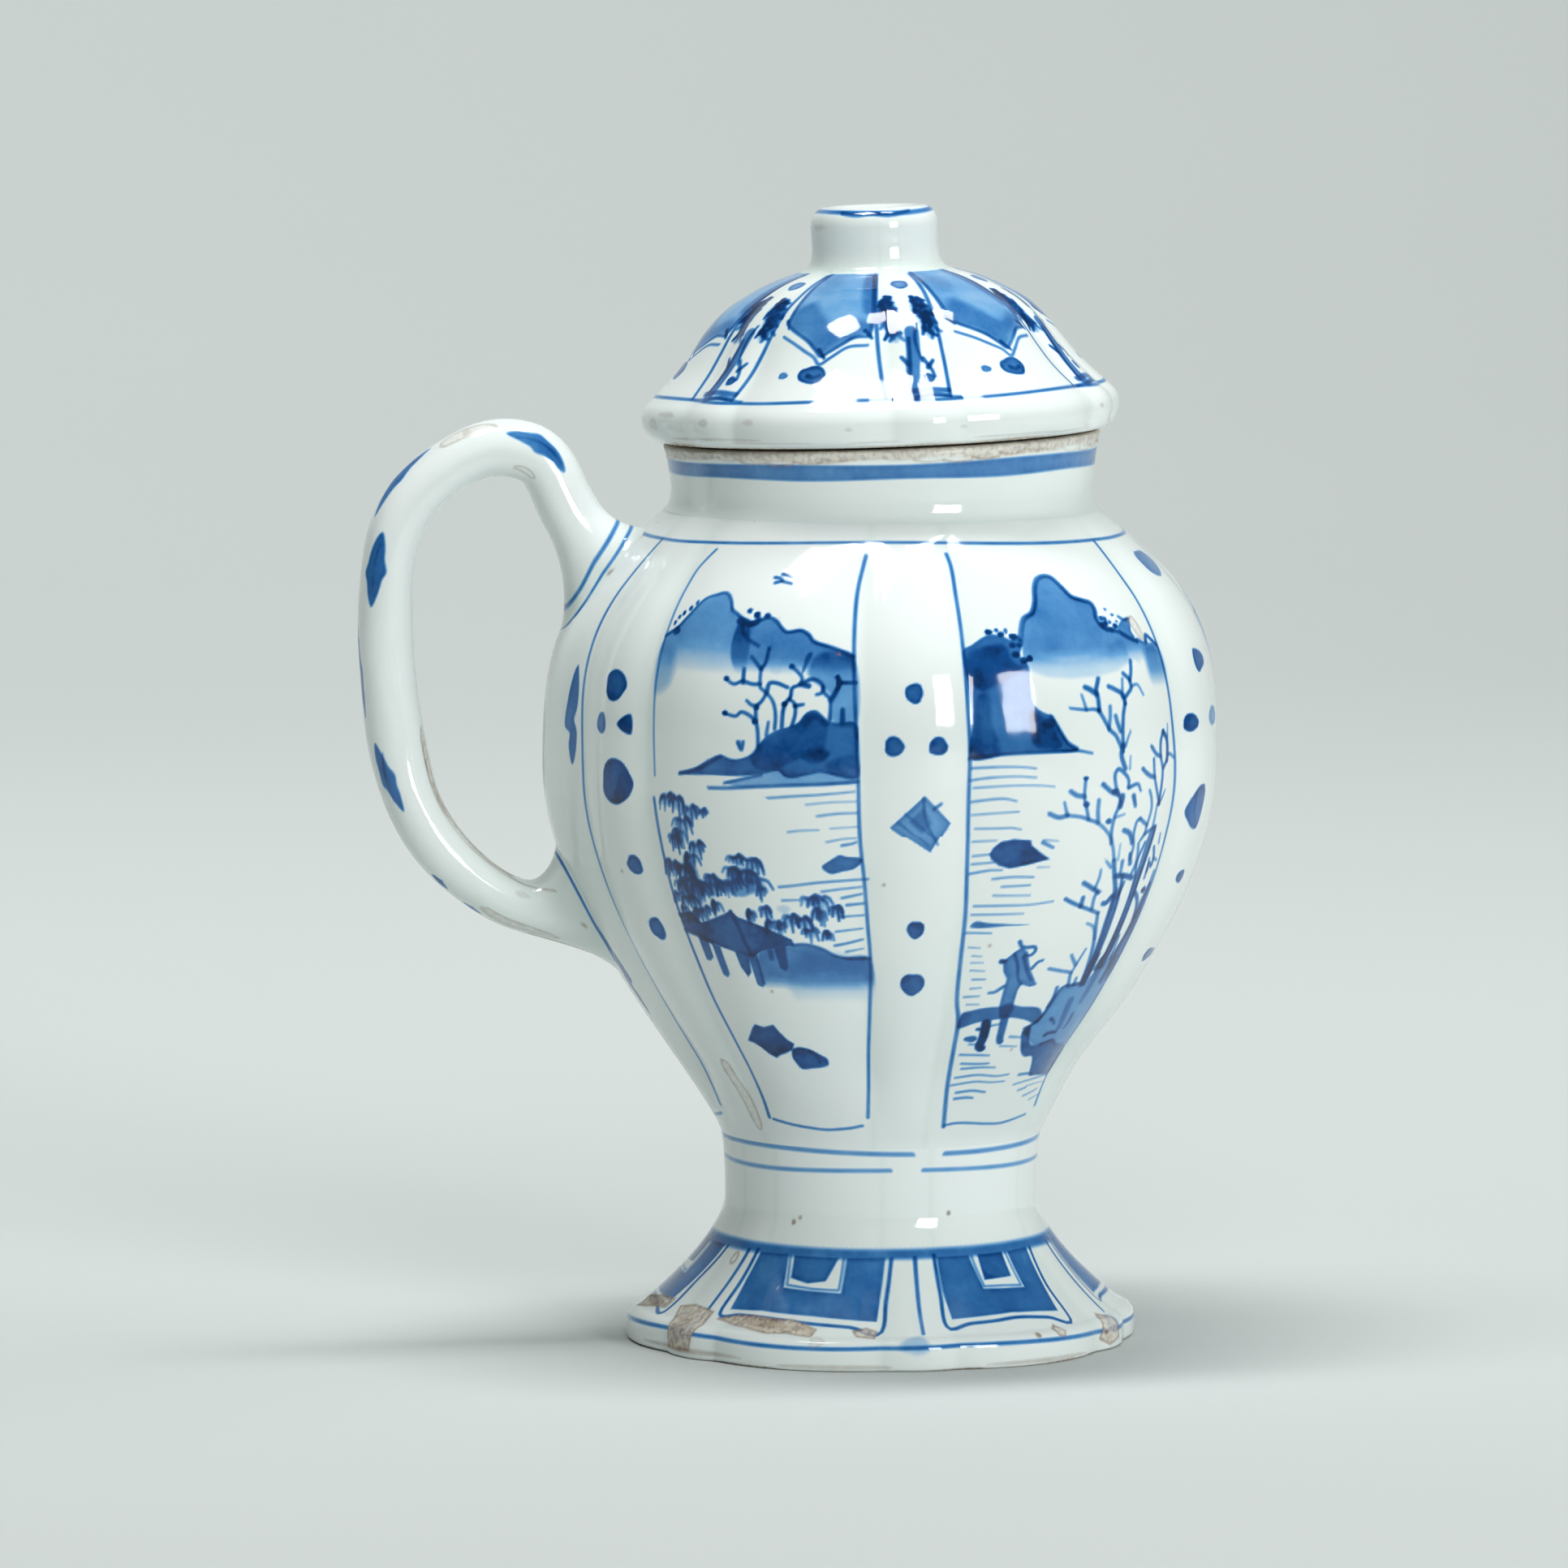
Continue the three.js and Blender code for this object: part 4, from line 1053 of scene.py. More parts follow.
        brush("-0.2,80.8 -0.9,82.6", 0.3, 0.52), brush("2,82.6 0.8,83.2 -0.1,83.5", 0.5, 0.66, 0.1),
        brush("4,78.2 4.4,79.8 4.5,81", 0.36, 0.5, 0),
        *strokes("6.4,77.9 5.8,79 5.5,79.8 / -4,68.1 -5.6,67.9 -7.4,68.4", 0.4, 0.56, 0),
        brush("7.4,76 8,77 8.6,77.8", 0.28, 0.46), brush("8.3,73.2 8.5,74.8", 0.24, 0.4),
        brush("16.2,68.4 15.4,69.8 14.6,71.6 14.3,74", 0.34, 0.6, 0),
        brush("14.5,71.8 13.4,72 12.4,72.4 11.4,73", 0.4, 0.62, 0),
        brush("16,68.4 16.6,70.4 17,72.6 16.4,74.2 16.4,76 17.2,77.2", 0.38, 0.62, 0),
        brush("17.2,77.2 18.4,76.2 18.6,74.4 18.4,73.6", 0.46, 0.75, 0),
        brush("18.6,74.3 19.6,74.3 20.8,73.8", 0.32, 0.56), brush("17.2,72.8 18.4,73.6", 0.4, 0.7),
        brush("16.2,68.4 17.2,69.2 17.9,70", 0.28, 0.45), brush("18.7,76.4 18.8,78", 0.26, 0.44),
        *strokes("5.1,64.2 4.9,66 5.4,67.8 6.4,69.2 5.9,70.2 / 12.9,64.9 14,65.2 15.4,65.6", 0.34, 0.56, 0),
        brush("6.7,69.9 6.3,68.8", 0.6, 0.66, 0), brush("5.8,70.2 4.4,70.6 2.7,71.6", 0.42, 0.62, 0),
        *strokes("5.4,70.8 5.1,72.6 5.8,73.3 7,72.8 8,71.9 8,71 / 5.9,55.4 4,55.9 1.6,56.5 -0.2,57 "
                 "-2,57.6", 0.34, 0.58, 0),
        brush("8,70.9 10.2,71.2 10.8,70.4", 0.34, 0.58), brush("9.2,69.8 9.7,68.6", 0.5, 0.62),
        brush("6.4,62 5.6,63.8 4.6,65.2 2.2,66.8 0.2,67.4 -1.4,67.8 -4,68.1", 0.32, 0.5, 0),
        brush("-4.1,68.2 -4.7,69.7", 0.34, 0.5), brush("2,67 1.8,68.4 1.9,69.7", 0.4, 0.48, 0),
        brush("0.1,67.4 -0.5,69 -0.9,70.2 -0.7,72.4", 0.3, 0.56, 0),
        *strokes("-0.9,70.3 -2.4,70.5 -3.5,71 / 4.7,58.1 3.6,58.5 1,59.5", 0.42, 0.58, 0),
        brush("5.4,67.4 7.4,67.7", 0.28, 0.4),
        *strokes("13.4,66.4 14,68 13.7,69.4 13.2,70.2 / 11.6,63.8 12,61.6 11.4,60 / 4.2,56 4,57.4 "
                 "4.3,58.2", 0.34, 0.5, 0),
        brush("15,65.8 15.6,68.4", 0.4, 0.4), brush("9.9,64 9,65.2 7.6,65.7", 0.46, 0.58, 0),
        brush("10.1,62 10.4,63.4 10,65 10.4,66.6 11.2,66.9", 0.32, 0.52, 0),
        brush("13.1,66 12.9,65 12,64.2", 0.32, 0.55, 0), brush("10.4,61.4 9.9,62.6", 0.5, 0.6),
        *strokes("7.6,60 9.6,59.9 11.8,59.5 / 8,57.4 7,56.6 6.4,56.6", 0.5, 0.66, 0),
        *strokes("8.4,61.8 8.6,60 / 10,59 9.4,57", 0.4, 0.5), brush("7.3,62 7.2,64", 0.3, 0.3),
        brush("6,61.2 4.8,62", 0.34, 0.45), brush("1.6,56.5 1.6,57.6", 0.42, 0.55, 0),
        *strokes("3.6,58.6 4,60 4,61 / 5,47.8 5.6,49.4 6.2,50.8 / 18.1,63.4 18,64.6", 0.3, 0.46),
        brush("7.4,52 6,53.6 4.2,54.2", 0.34, 0.42),
        brush("5.7,46 5,47.4 4.9,47.7 2,48.2 -0.9,48.6", 0.34, 0.52, 0),
        brush("5.2,48.8 4,49.6 3.2,50.2", 0.36, 0.5), brush("7.2,46.2 7,47", 0.4, 0.45),
        brush("16,60 16.2,61 17.2,60.6 17.3,61.6 16.6,63", 0.36, 0.64, 0),
        brush("15.9,59.2 16,60.2 15.8,61.6", 0.34, 0.55),
        *spots("5.2,70.6,0.8,0.35,0.6 -0.5,69.3,0.6,0.35,0.6 -0.6,72.5,0.5,0.25,0.6 4.1,67,0.6,0.35,0.6"),
    ]
    return marks


# %% [markdown]
# A thin line frames each wide panel, and one wavy line runs round the shoulder above all of them. The
# ribs carry single spots and a lozenge. Under the handle there are only scattered leaves.


# %% Frames and ribs
def frame_lines():
    return [
        brush("-17,99.5 -18.2,98.4 -19.4,97 -19.7,95 -19.6,91 -19.6,84 -19.3,78 -18.9,72.4", 0.3, 0.5, 0.3),
        brush("-19.2,69.6 -18.8,67 -18.3,63 -17.9,57 -17.4,50 -17.3,44 -16.6,40 -15.8,35 -15.3,31 "
              "-15.6,28.8", 0.36, 0.62, 0),
        brush("20.4,100 19.6,98 18.8,95.4 18.6,91 19,83 19.5,77 19.7,72 19.9,66 20.6,60 21,55 21.4,50 "
              "20.9,43 20.3,38 19.9,33 19.4,29.4", 0.34, 0.58, 0.1),
        brush("-14,28.6 -10,28.3 -5,28 0,27.8 5,27.65 10,27.8 14,28 17.5,28.3", 0.26, 0.62, 0.1),
    ]


def frame_lines_right():
    return [
        brush("-21.6,99.4 -21.2,98 -21.5,94 -21.7,88 -21.6,82 -21.3,76 -21.5,70 -21.2,62 -20.6,56 -20.2,50 "
              "-19.4,45 -18,42 -17.4,38 -16.6,33 -15.8,30 -15.2,28", 0.36, 0.58, 0),
        brush("20.6,99.9 20.2,95 19.9,90 19.9,85 20.4,79 21.2,73 20.9,68 20.2,64 19.7,59 19.3,50 19.2,43 "
              "19.4,38 20,33 20.8,29.6", 0.34, 0.58, 0.1),
        brush("-15,28.2 -11,28.4 -6,28.3 0,28.05 6,27.9 10,28.1 14,28.4 17,28.6", 0.24, 0.56, 0.1),
    ]


def middle_rib():
    return [
        spot(-0.9, 83.4, 1.5, 1.2), spot(-4.3, 77, 1.6, 1.2), spot(3.1, 77, 1.6, 1.1),
        patch("-5,67.1 0.8,71 5.3,67.6 1.9,64.1", 0.42, 0.12, rim=0.3, curve=False),
        patch("-1.8,67.8 0.6,69.6 2.2,67.6 0.4,66.4", 0.34, 0.25, curve=False),
        brush("0.6,70.6 1,68 3.2,65", 0.26, 0.5), brush("-3.6,67.8 1.6,64.9", 0.22, 0.42),
        brush("-2.4,68.8 2.8,65.7", 0.22, 0.42), brush("2.4,69.4 3.6,70", 0.34, 0.6),
        spot(0, 54.3, 1.6, 1.1), spot(0.1, 47.2, 2.5, 1.4),
    ]


def left_rib():
    return [
        spot(1, 83, 2.7, 1.9, 0.68), spot(-2.3, 78.2, 1.4, 1.3, 0.6),
        patch("2.2,78.3 5.4,79.6 5.6,77.2", 0.7, rim=0.15), spot(2, 71.2, 3.8, 2.8, 0.74),
        spot(4, 61, 1.8, 1.2, 0.64), spot(4.7, 53, 1.8, 1.4, 0.64),
    ]


def right_rib():
    return [
        spot(1.4, 85.2, 1.7, 1.4), spot(-4.2, 77.8, 2.4, 1.1, 0.7), spot(3.6, 78, 0.9, 1.2, 0.4),
        patch("-5.4,66.9 -3.4,68.6 -0.9,69.8 1.4,69.6 1.2,66.6 0,64.6 -2,64.6 -4,65.6", 0.62, 0.12,
              rim=0.22),
        brush("-2,69 -2.2,66.8 -1,64.9", 0.3, 0.4), spot(-1, 58.5, 1.6, 0.8), spot(1, 48.5, 2.2, 0.8),
    ]


def handle_panel():
    leaf = "0,84.6 1.6,82 1.6,79.4 0.8,78 1.7,76.6 1.2,73.6 0.2,72.4 -0.9,74.6 -0.6,76.2 -2.4,77 -1.8,80"
    marks = []
    for x, y, mirror in ((16, 0, False), (-13, 1, True), (0, -5, False), (-8, -30, False),
                         (8, -32, True)):
        marks += moved([patch(leaf, 0.62, 0.12, rim=0.16)], x, mirror)
        marks[-1]["points"][:, 1] += y
    return marks


# %% [markdown]
# ## The belly
# Six panels go round it. The two views take turns, and one of them at the far side, where the
# photograph doesn't show them, is mirrored.

# %% Paint the belly
PANELS = (
    (240, pavilion_view, frame_lines, False),
    (300, bridge_view, frame_lines_right, False),
    (0, pavilion_view, frame_lines, False),
    (60, bridge_view, frame_lines_right, True),
    (120, pavilion_view, frame_lines, False),
    (180, handle_panel, frame_lines, False),
)
RIBS = (
    (270, middle_rib), (210, left_rib), (330, right_rib),
    (30, middle_rib), (90, left_rib), (150, right_rib),
)


def wrapped(marks):
    """Marks that reach past either end of the sheet come back in at the other end."""
    result = list(marks)
    for mark in marks:
        for shift in (-360, 360):
            points = mark["points"] + (shift, 0)
            if points[:, 0].max() > -20 and points[:, 0].min() < 380:
                result.append(dict(mark, points=points))
    return result


def shoulder_line():
    return brush(ring(100.45, 0.35, 3, 20), 0.34, 0.6, 0)


def body_wear():
    """Places where the glaze has come off, each with a brown edge, and a few kiln specks."""
    peeled = ("-145.4,36 -144,35.6 -143.2,33.4 -141.6,31.6 -140.6,29 -140.8,27.6 -142.4,27 -143.8,28.2 "
              "-144.2,30 -145,32 -145.8,33.6 -146.2,35")
    chip = "-46.6,90.9 -45,91.2 -44.2,90 -44,88.6 -45.2,88.8 -46,89.8"
    marks = worn(peeled, 0.28, 0.15, 0.16, 0.7) + worn(chip, 0.28, 0.15, 0.16, 0.7)
    specks = "-173,101.6 -172,99.8 -131,103 -120,46 -96,60 -75,52 -62,38 -104,88 -150,60 20,50 80,70"
    for x, z in pairs(specks):
        marks.append(spot(x, z, 0.35, 0.22, 0.6, 0, layer="stain"))
    return marks


body_marks = [shoulder_line(), spot(333.4, 96.8, 2, 1.5, 0.5)] + moved(body_wear(), 360)
for centre, view, frame_of, mirror in PANELS:
    body_marks += moved(view() + frame_of(), centre, mirror)
for centre, rib in RIBS:
    body_marks += moved(rib(), centre)
print("brush marks on the belly:", len(body_marks))

# %% Roll the belly
DRAWN_STEM_TOP = 25.2


def steps(low, high, cell):
    return np.linspace(low, high, max(2, round((high - low) / cell) + 1))


def body_outline(low, high):
    z = steps(low, high, 0.1)
    return np.column_stack([body_radius(z), z, body_lobes(z)])


def inside_outline(low, high):
    z = steps(low, high, 0.5)[::-1]
    return np.column_stack([body_radius(z) - WALL, z, 0 * z])


def heights_on(form):
    """The length along the form's painted face at a height."""
    length, points = form.face_outline
    span = points[-1, 1] - points[0, 1]

    def length_of(z):
        past = np.maximum(z - points[-1, 1], 0) - np.maximum(points[0, 1] - z, 0)
        return np.interp(z, points[:, 1], length) + 1.2 * past
    return length_of


def marks_between(marks, form, low, high):
    """The drawings' heights count from a stem that ends at DRAWN_STEM_TOP."""
    lift = STEM_TOP - DRAWN_STEM_TOP
    inside = []
    for mark in marks:
        heights = mark["points"][:, 1] + lift
        if heights.max() > low - 1 and heights.min() < high + 1:
            inside.append(mark)
    on_wall = heights_on(form)
    return wrapped(moved(inside, 0, False, lambda z: on_wall(z + lift)))


def body_pools(form, turn=0.0):
    """Glaze gathers in the creases, and makes them a little greener."""
    def pool(x, v):
        off = np.abs((x - turn + 30) % 60 - 30)
        return 0.32 * np.exp(-((off - WIDE_HALF) / 1.4) ** 2)
    return pool


floor_z = STEM_TOP + FLOOR
lower_outer = body_outline(STEM_TOP, SEAM)
lower_inner = inside_outline(floor_z, SEAM)
lower_form = turned([
    [[0, STEM_TOP, 0], lower_outer[0]],
    lower_outer,
    [lower_outer[-1], lower_inner[0]],
    lower_inner,
    [lower_inner[-1], [0, floor_z, 0]],
], (6, 1.65, 4, 3, 4), 1, on_pot(0, settled))
upper_outer = body_outline(SEAM, SHOULDER_TOP)
upper_inner = inside_outline(SEAM, SHOULDER_TOP)
upper_form = turned([
    [upper_inner[-1], upper_outer[0]],
    upper_outer,
    [upper_outer[-1], upper_inner[0]],
    upper_inner,
], (4, 1.6, 4, 2), 1, on_pot(0, settled))
rolled("painted_lower_body", lower_form, marks_between(body_marks, lower_form, STEM_TOP, SEAM),
       "pot", ["lower_body"], 160, layers={"pool": body_pools(lower_form)})
rolled("painted_upper_body", upper_form, marks_between(body_marks, upper_form, SEAM, SHOULDER_TOP),
       "pot", ["upper_body"], 160, layers={"pool": body_pools(upper_form)})

# %% [markdown]
# ## The foot
# The foot was pressed with the same six lobes. Each wide one holds a solid trapezium with a framed notch
# at its top, inside a thin outline. The edge of the foot is worn and chipped.

# %% Paint the foot
FOOT_TURN = 3.0
FOOT_EDGE = 4.0
FOOT_ROUND = 1.5
FOOT_RING = 3.6
FOOT_LOBE_DEPTH = 1.2
STEM_WALL = 4.0


def trapezium():
    return [
        patch("9.5,15.9 8.9,10.5 9.3,5.8 17,6.1 26,6.4 34,6.1 41.5,5.6 43.5,9.6 47,16 36.6,15.9 35.3,10.2 "
              "28,10.4 21.4,10.6 20.6,15.9", 0.6, 0.15, rim=0.16, curve=False),
        patch("24,15.9 23,12.1 28,12.2 32.8,12.3 34,15.9", 0.66, 0.12, rim=0.16, curve=False),
        brush("8.5,16.2 7.8,10 7.2,4.7 14,5 20,5.2 27,5.5 36,4.9 43.8,4.1 45.4,10 49,15.8", 0.34, 0.74, 0),
        brush("21.6,15.8 21.9,11 28,10.9 34.5,10.6 35.5,15.8", 0.22, 0.5, 0, curve=False),
    ]


def broad_trapezium():
    """The same figure as it is drawn on every second lobe, a little wider and lower."""
    return [
        patch("7.5,15.9 7.2,11.5 7.8,6.3 18.5,6.8 33.5,6.5 49.5,5.7 50.5,10.3 52,16 39.6,15.9 39.4,10.4 "
              "31.2,10.6 21.8,10.9 19,16", 0.58, 0.16, rim=0.16, curve=False),
        patch("21.5,15.9 23,12.6 28.8,11.9 34.2,12.4 36.9,15.9", 0.6, 0.15, rim=0.18, curve=False),
        brush("5.8,16.2 5.6,11.4 5.5,5.4 12,5.6 19.8,5.7 27,5.5 34.2,5.2 43,4.8 50.8,4.2 52,9 54,15.8",
              0.34, 0.7, 0),
        brush("20,15.8 22.6,11.4 31,11 38.6,10.9 38.6,15.8", 0.22, 0.5, 0, curve=False),
    ]


def foot_rib():
    return [
        brush("1.8,15.9 1.2,11.5 0.8,7.6 0.8,4", 0.4, 0.62, 0.2),
        spot(-1.5, 2.6, 3.5, 1.1, 0.2, 0, soft=0.6),
    ]


def foot_rings():
    """Rings at the edge, above the slope, and two round the stem that don't quite close."""
    turns = np.radians(np.arange(0, 361, 12))
    heights = 2.1 + 0.35 * np.sin(turns - math.radians(150)) + 0.2 * np.sin(4 * turns)
    edge = " ".join(f"{x},{height:.2f}" for x, height in zip(range(0, 361, 12), heights))
    round_about = ring(16.5, places=range(0, 361, 12))
    high = ring(29.6, 0.25, 2, 40, range(287, 644, 12))
    low = ring(27.2, 0.2, 3, 0, range(-81, 273, 12))
    return [brush(edge, 0.36, 0.58, 0), brush(round_about, 1.0, 0.6, 0, soft=0.4),
            brush(high, 0.42, 0.46, 0, soft=0.2), brush(low, 0.36, 0.44, 0, soft=0.2)]


def foot_wear():
    """Chips with dark edges, scuffs and kiln specks. Chips show grey clay where dirt has settled."""
    marks = []
    for outline, tone in (
        ("-98,4.7 -90,5.4 -84,6.1 -77,6.1 -77.5,4.6 -86,4.2 -95,3.5", 0.75),
        ("-72,5.2 -66,6 -60,5.8 -57,5.5 -57.3,3.1 -58.5,0.3 -63,0.1 -67.5,0.2 -68.2,2.8 -70.5,3.8", 0.8),
        ("-54,4.6 -48,5.5 -42.8,5.8 -37,5.6 -32,5.7 -28,5 -25.2,4.4 -26,3.6 -32,3.9 -37.2,3.7 -44,4.1 "
         "-48.2,4.2", 0.9),
        ("-16,4.3 -13,4.6 -10.5,4.2 -11,3.5 -15,3.7", 0.7),
        ("34.4,3.5 36,3.9 37.4,3.2 36.4,2.6 34.8,2.8", 0.5),
        ("52,1 56,4 60,3.4 61,0.6 56,0", 0.7),
        ("140,3.4 150,5 160,4.4 158,2.6 148,2.4", 0.7),
    ):
        marks += worn(outline, tone, 0.16, 0.22, 0.75, curve=False)
    marks += [smudge(-64, 2.6, 4, 2, 0.3), smudge(-39, 4.8, 9, 0.7, 0.35), smudge(-87, 4.9, 7, 0.7, 0.5),
              smudge(-62, 0.2, 16, 0.3, 0.4), smudge(-20, -0.2, 18, 0.2, 0.35),
              smudge(30, -0.2, 20, 0.2, 0.35), smudge(-24, 3, 1.5, 0.8, 0.14)]
    for x, y, size in ((-42.5, 20.5, 0.34), (-40, 21.1, 0.26), (16, 21.8, 0.3), (28.8, 3.1, 0.3),
                       (54.5, 1.7, 0.3),
                       (120, 20, 0.3), (200, 22, 0.25), (-130, 3, 0.3), (160, 8, 0.3)):
        marks.append(spot(x, y, size * 2.6, size, 0.85, 0, layer="stain"))
    marks.append(brush("-64.5,14.2 -64,15 -63,15.3 -62,14.7 -62,13.9 -63,13.5 -64.2,13.8", 0.24, 0.8, 0,
                       layer="stain"))
    return marks


foot_marks = foot_rings() + moved(foot_wear(), 270 + FOOT_TURN)
for k in range(6):
    figure = broad_trapezium() if k % 2 else trapezium()
    foot_marks += moved(figure + foot_rib(), 270 + FOOT_TURN + 60 * k - 360 * (k > 2))

# %% Roll the foot
FOOT_SLOPE_START = FOOT_RADIUS - FOOT_ROUND


def foot_slope(z, stem=STEM_RADIUS):
    drop = np.clip((STEM_BOTTOM - z) / (STEM_BOTTOM - FOOT_EDGE), 0, 1)
    return stem + (FOOT_SLOPE_START - STEM_RADIUS) * drop ** 1.5


def quarter_round(radius, height, reach, start, end, count=7):
    angles = np.radians(np.linspace(start, end, count))
    return np.column_stack([radius + reach * np.cos(angles), height + reach * np.sin(angles)])


def with_lobes(outline, depth_at):
    outline = np.array(outline, float)
    return np.column_stack([outline, depth_at(outline[:, 0], outline[:, 1])])


def foot_lobes(radius, z):
    return FOOT_LOBE_DEPTH * smooth_step(STEM_BOTTOM - z, 0, STEM_BOTTOM)


slope_z = steps(FOOT_EDGE, STEM_BOTTOM, 0.2)[1:]
stem_z = steps(STEM_BOTTOM, STEM_TOP, 0.2)[1:]
stem_rise = (stem_z - STEM_BOTTOM) / (STEM_TOP - STEM_BOTTOM)
foot_outer = with_lobes(np.vstack([
    quarter_round(FOOT_RADIUS - 0.5, 0.5, 0.5, -90, 0, 5),
    quarter_round(FOOT_SLOPE_START, FOOT_EDGE - FOOT_ROUND, FOOT_ROUND, 0, 68),
    np.column_stack([foot_slope(slope_z), slope_z]),
    np.column_stack([STEM_RADIUS + STEM_FLARE * stem_rise ** 3, stem_z]),
]), foot_lobes)
inner_z = steps(FOOT_EDGE, STEM_TOP, 0.5)[::-1]
foot_inner = np.column_stack([foot_slope(inner_z, STEM_RADIUS - STEM_WALL), inner_z, 0 * inner_z])
ring_inside = [FOOT_RADIUS - FOOT_RING, 0, 0]
foot_form = turned([
    [ring_inside, foot_outer[0]],
    foot_outer,
    [foot_outer[-1], foot_inner[0]],
    np.vstack([foot_inner, [ring_inside]]),
], (2, 0.7, 4, 3), 1, on_pot(FOOT_TURN))


def foot_lengths(form):
    """Marks on the foot are placed by their length up the wall from the table."""
    on_wall = heights_on(form)
    return lambda v: on_wall(np.interp(v, (-0.8, 0, 4.7, 12.3, 19, 30.1), (0, 0.8, 5.1, 10, 15, 26)))


def foot_bare(x, v):
    """The ring that stands in the kiln is bare clay, up to an uneven edge of the glaze."""
    start = foot_form.edges[1]
    edge = start + 0.35 + 0.25 * np.sin(np.radians(5 * x)) + 0.15 * np.sin(np.radians(13 * x))
    return np.clip((edge - v) / 0.3, 0, 1)


rolled("painted_foot", foot_form, wrapped(moved(foot_marks, 0, False, foot_lengths(foot_form))), "pot",
       ["foot"], layers={"bare": foot_bare, "pool": body_pools(foot_form, FOOT_TURN)})

# %% [markdown]
# ## The neck
# The collar is plain, with one solid band. Its rim is bare where the cover rests. The rim slopes by two
# degrees, so the collar leans into that slope towards its top, and the band with it.

# %% Roll the neck
NECK_WALL = 3.5
NECK_FILLET = 0.8
NECK_START = SHOULDER_TOP - 0.75


def on_neck(x, radius, height, lobes):
    angle = np.radians(x)
    full = radius + 0.5 * wander(x, height) * (radius > NECK_RADIUS - 1)
    out = full * np.cos(angle)
    share = np.clip((height - SHOULDER_TOP) / (RIM_HEIGHT - SHOULDER_TOP), 0, 1.1)
    return np.column_stack([AXIS_X + out, full * np.sin(angle), height + share * out * math.tan(SEAT_TILT)])




def plain(radius, z):
    """An outline without lobes."""
    return 0 * z


neck_z = steps(NECK_START, RIM_HEIGHT - 0.6, 0.15)
neck_rise = np.clip((neck_z - SHOULDER_TOP) / (RIM_HEIGHT - SHOULDER_TOP), 0, 1)
fillet = NECK_FILLET * 1.25 * np.exp(-(neck_z - NECK_START) / NECK_FILLET)
neck_side = np.column_stack([NECK_RADIUS + NECK_FLARE * neck_rise ** 2 + fillet, neck_z])
neck_inside = NECK_RADIUS - NECK_WALL
neck_outer = with_lobes(np.vstack([
    neck_side,
    quarter_round(RIM_RADIUS - 0.6, RIM_HEIGHT - 0.6, 0.6, 0, 90)[1:],
    quarter_round(neck_inside + 0.6, RIM_HEIGHT - 0.6, 0.6, 90, 180),
]), plain)
neck_bottom = [neck_inside, NECK_START, 0]
neck_form = turned([
    [neck_bottom, neck_outer[0]],
    neck_outer,
    [neck_outer[-1], neck_bottom],
], (3, 0.6, 3), 1, on_neck)
neck_length = neck_form.edges[2]
BAND_LOW = RIM_HEIGHT - 3.75
BAND_HIGH = RIM_HEIGHT - 1.85


def neck_band():
    low = ring(BAND_LOW, 0.1, 7, 0, range(-6, 367, 6))
    high = ring(BAND_HIGH, 0.12, 5, 0, range(366, -7, -6))
    return patch(low + " " + high, 0.5, 0.18, rim=0.12, curve=False)


neck_wear = []
for x in range(0, 360, 8):
    low = RIM_HEIGHT - 1.5 + 0.35 * math.sin(x * 1.7)
    line = f"{x},{low + 0.3:.2f} {x + 3},{low:.2f} {x + 8},{low + 0.15:.2f}"
    neck_wear.append(brush(line, 0.26, 0.38 + 0.2 * math.sin(x * 0.9), layer="stain"))


def rim_bare(x, v):
    length = heights_on(neck_form)(np.array([RIM_HEIGHT - 1.5]))[0]
    edge = length + 0.2 * np.sin(np.radians(7 * x)) + 0.12 * np.sin(np.radians(17 * x))
    return 0.6 * np.clip((v - edge) / 0.25, 0, 1) * (v < neck_length)


def neck_pool(x, v):
    return 0.5 * np.exp(-np.abs(v - neck_form.edges[1]) / 2.5)


rolled("banded_neck", neck_form, moved([neck_band()] + wrapped(neck_wear), 0, False, heights_on(neck_form)),
       "pot", ["neck"], layers={"bare": rim_bare, "pool": neck_pool})

# %% [markdown]
# ## The cover
# The dome, its rolled edge and the button were joined before glazing, so one sheet carries all three.
# It is painted with hanging panels on the wide lobes and sprays on the ribs.

# %% Paint the cover
COVER_TURN = 6.0
COVER_LOBE_DEPTH = 1.2
SEAT_GAP = 0.3
ROLL = 2.8
ROLL_RADIUS = 30 - ROLL
ROLL_HEIGHT = SEAT_GAP + ROLL
KNOB_BASE = 9.4


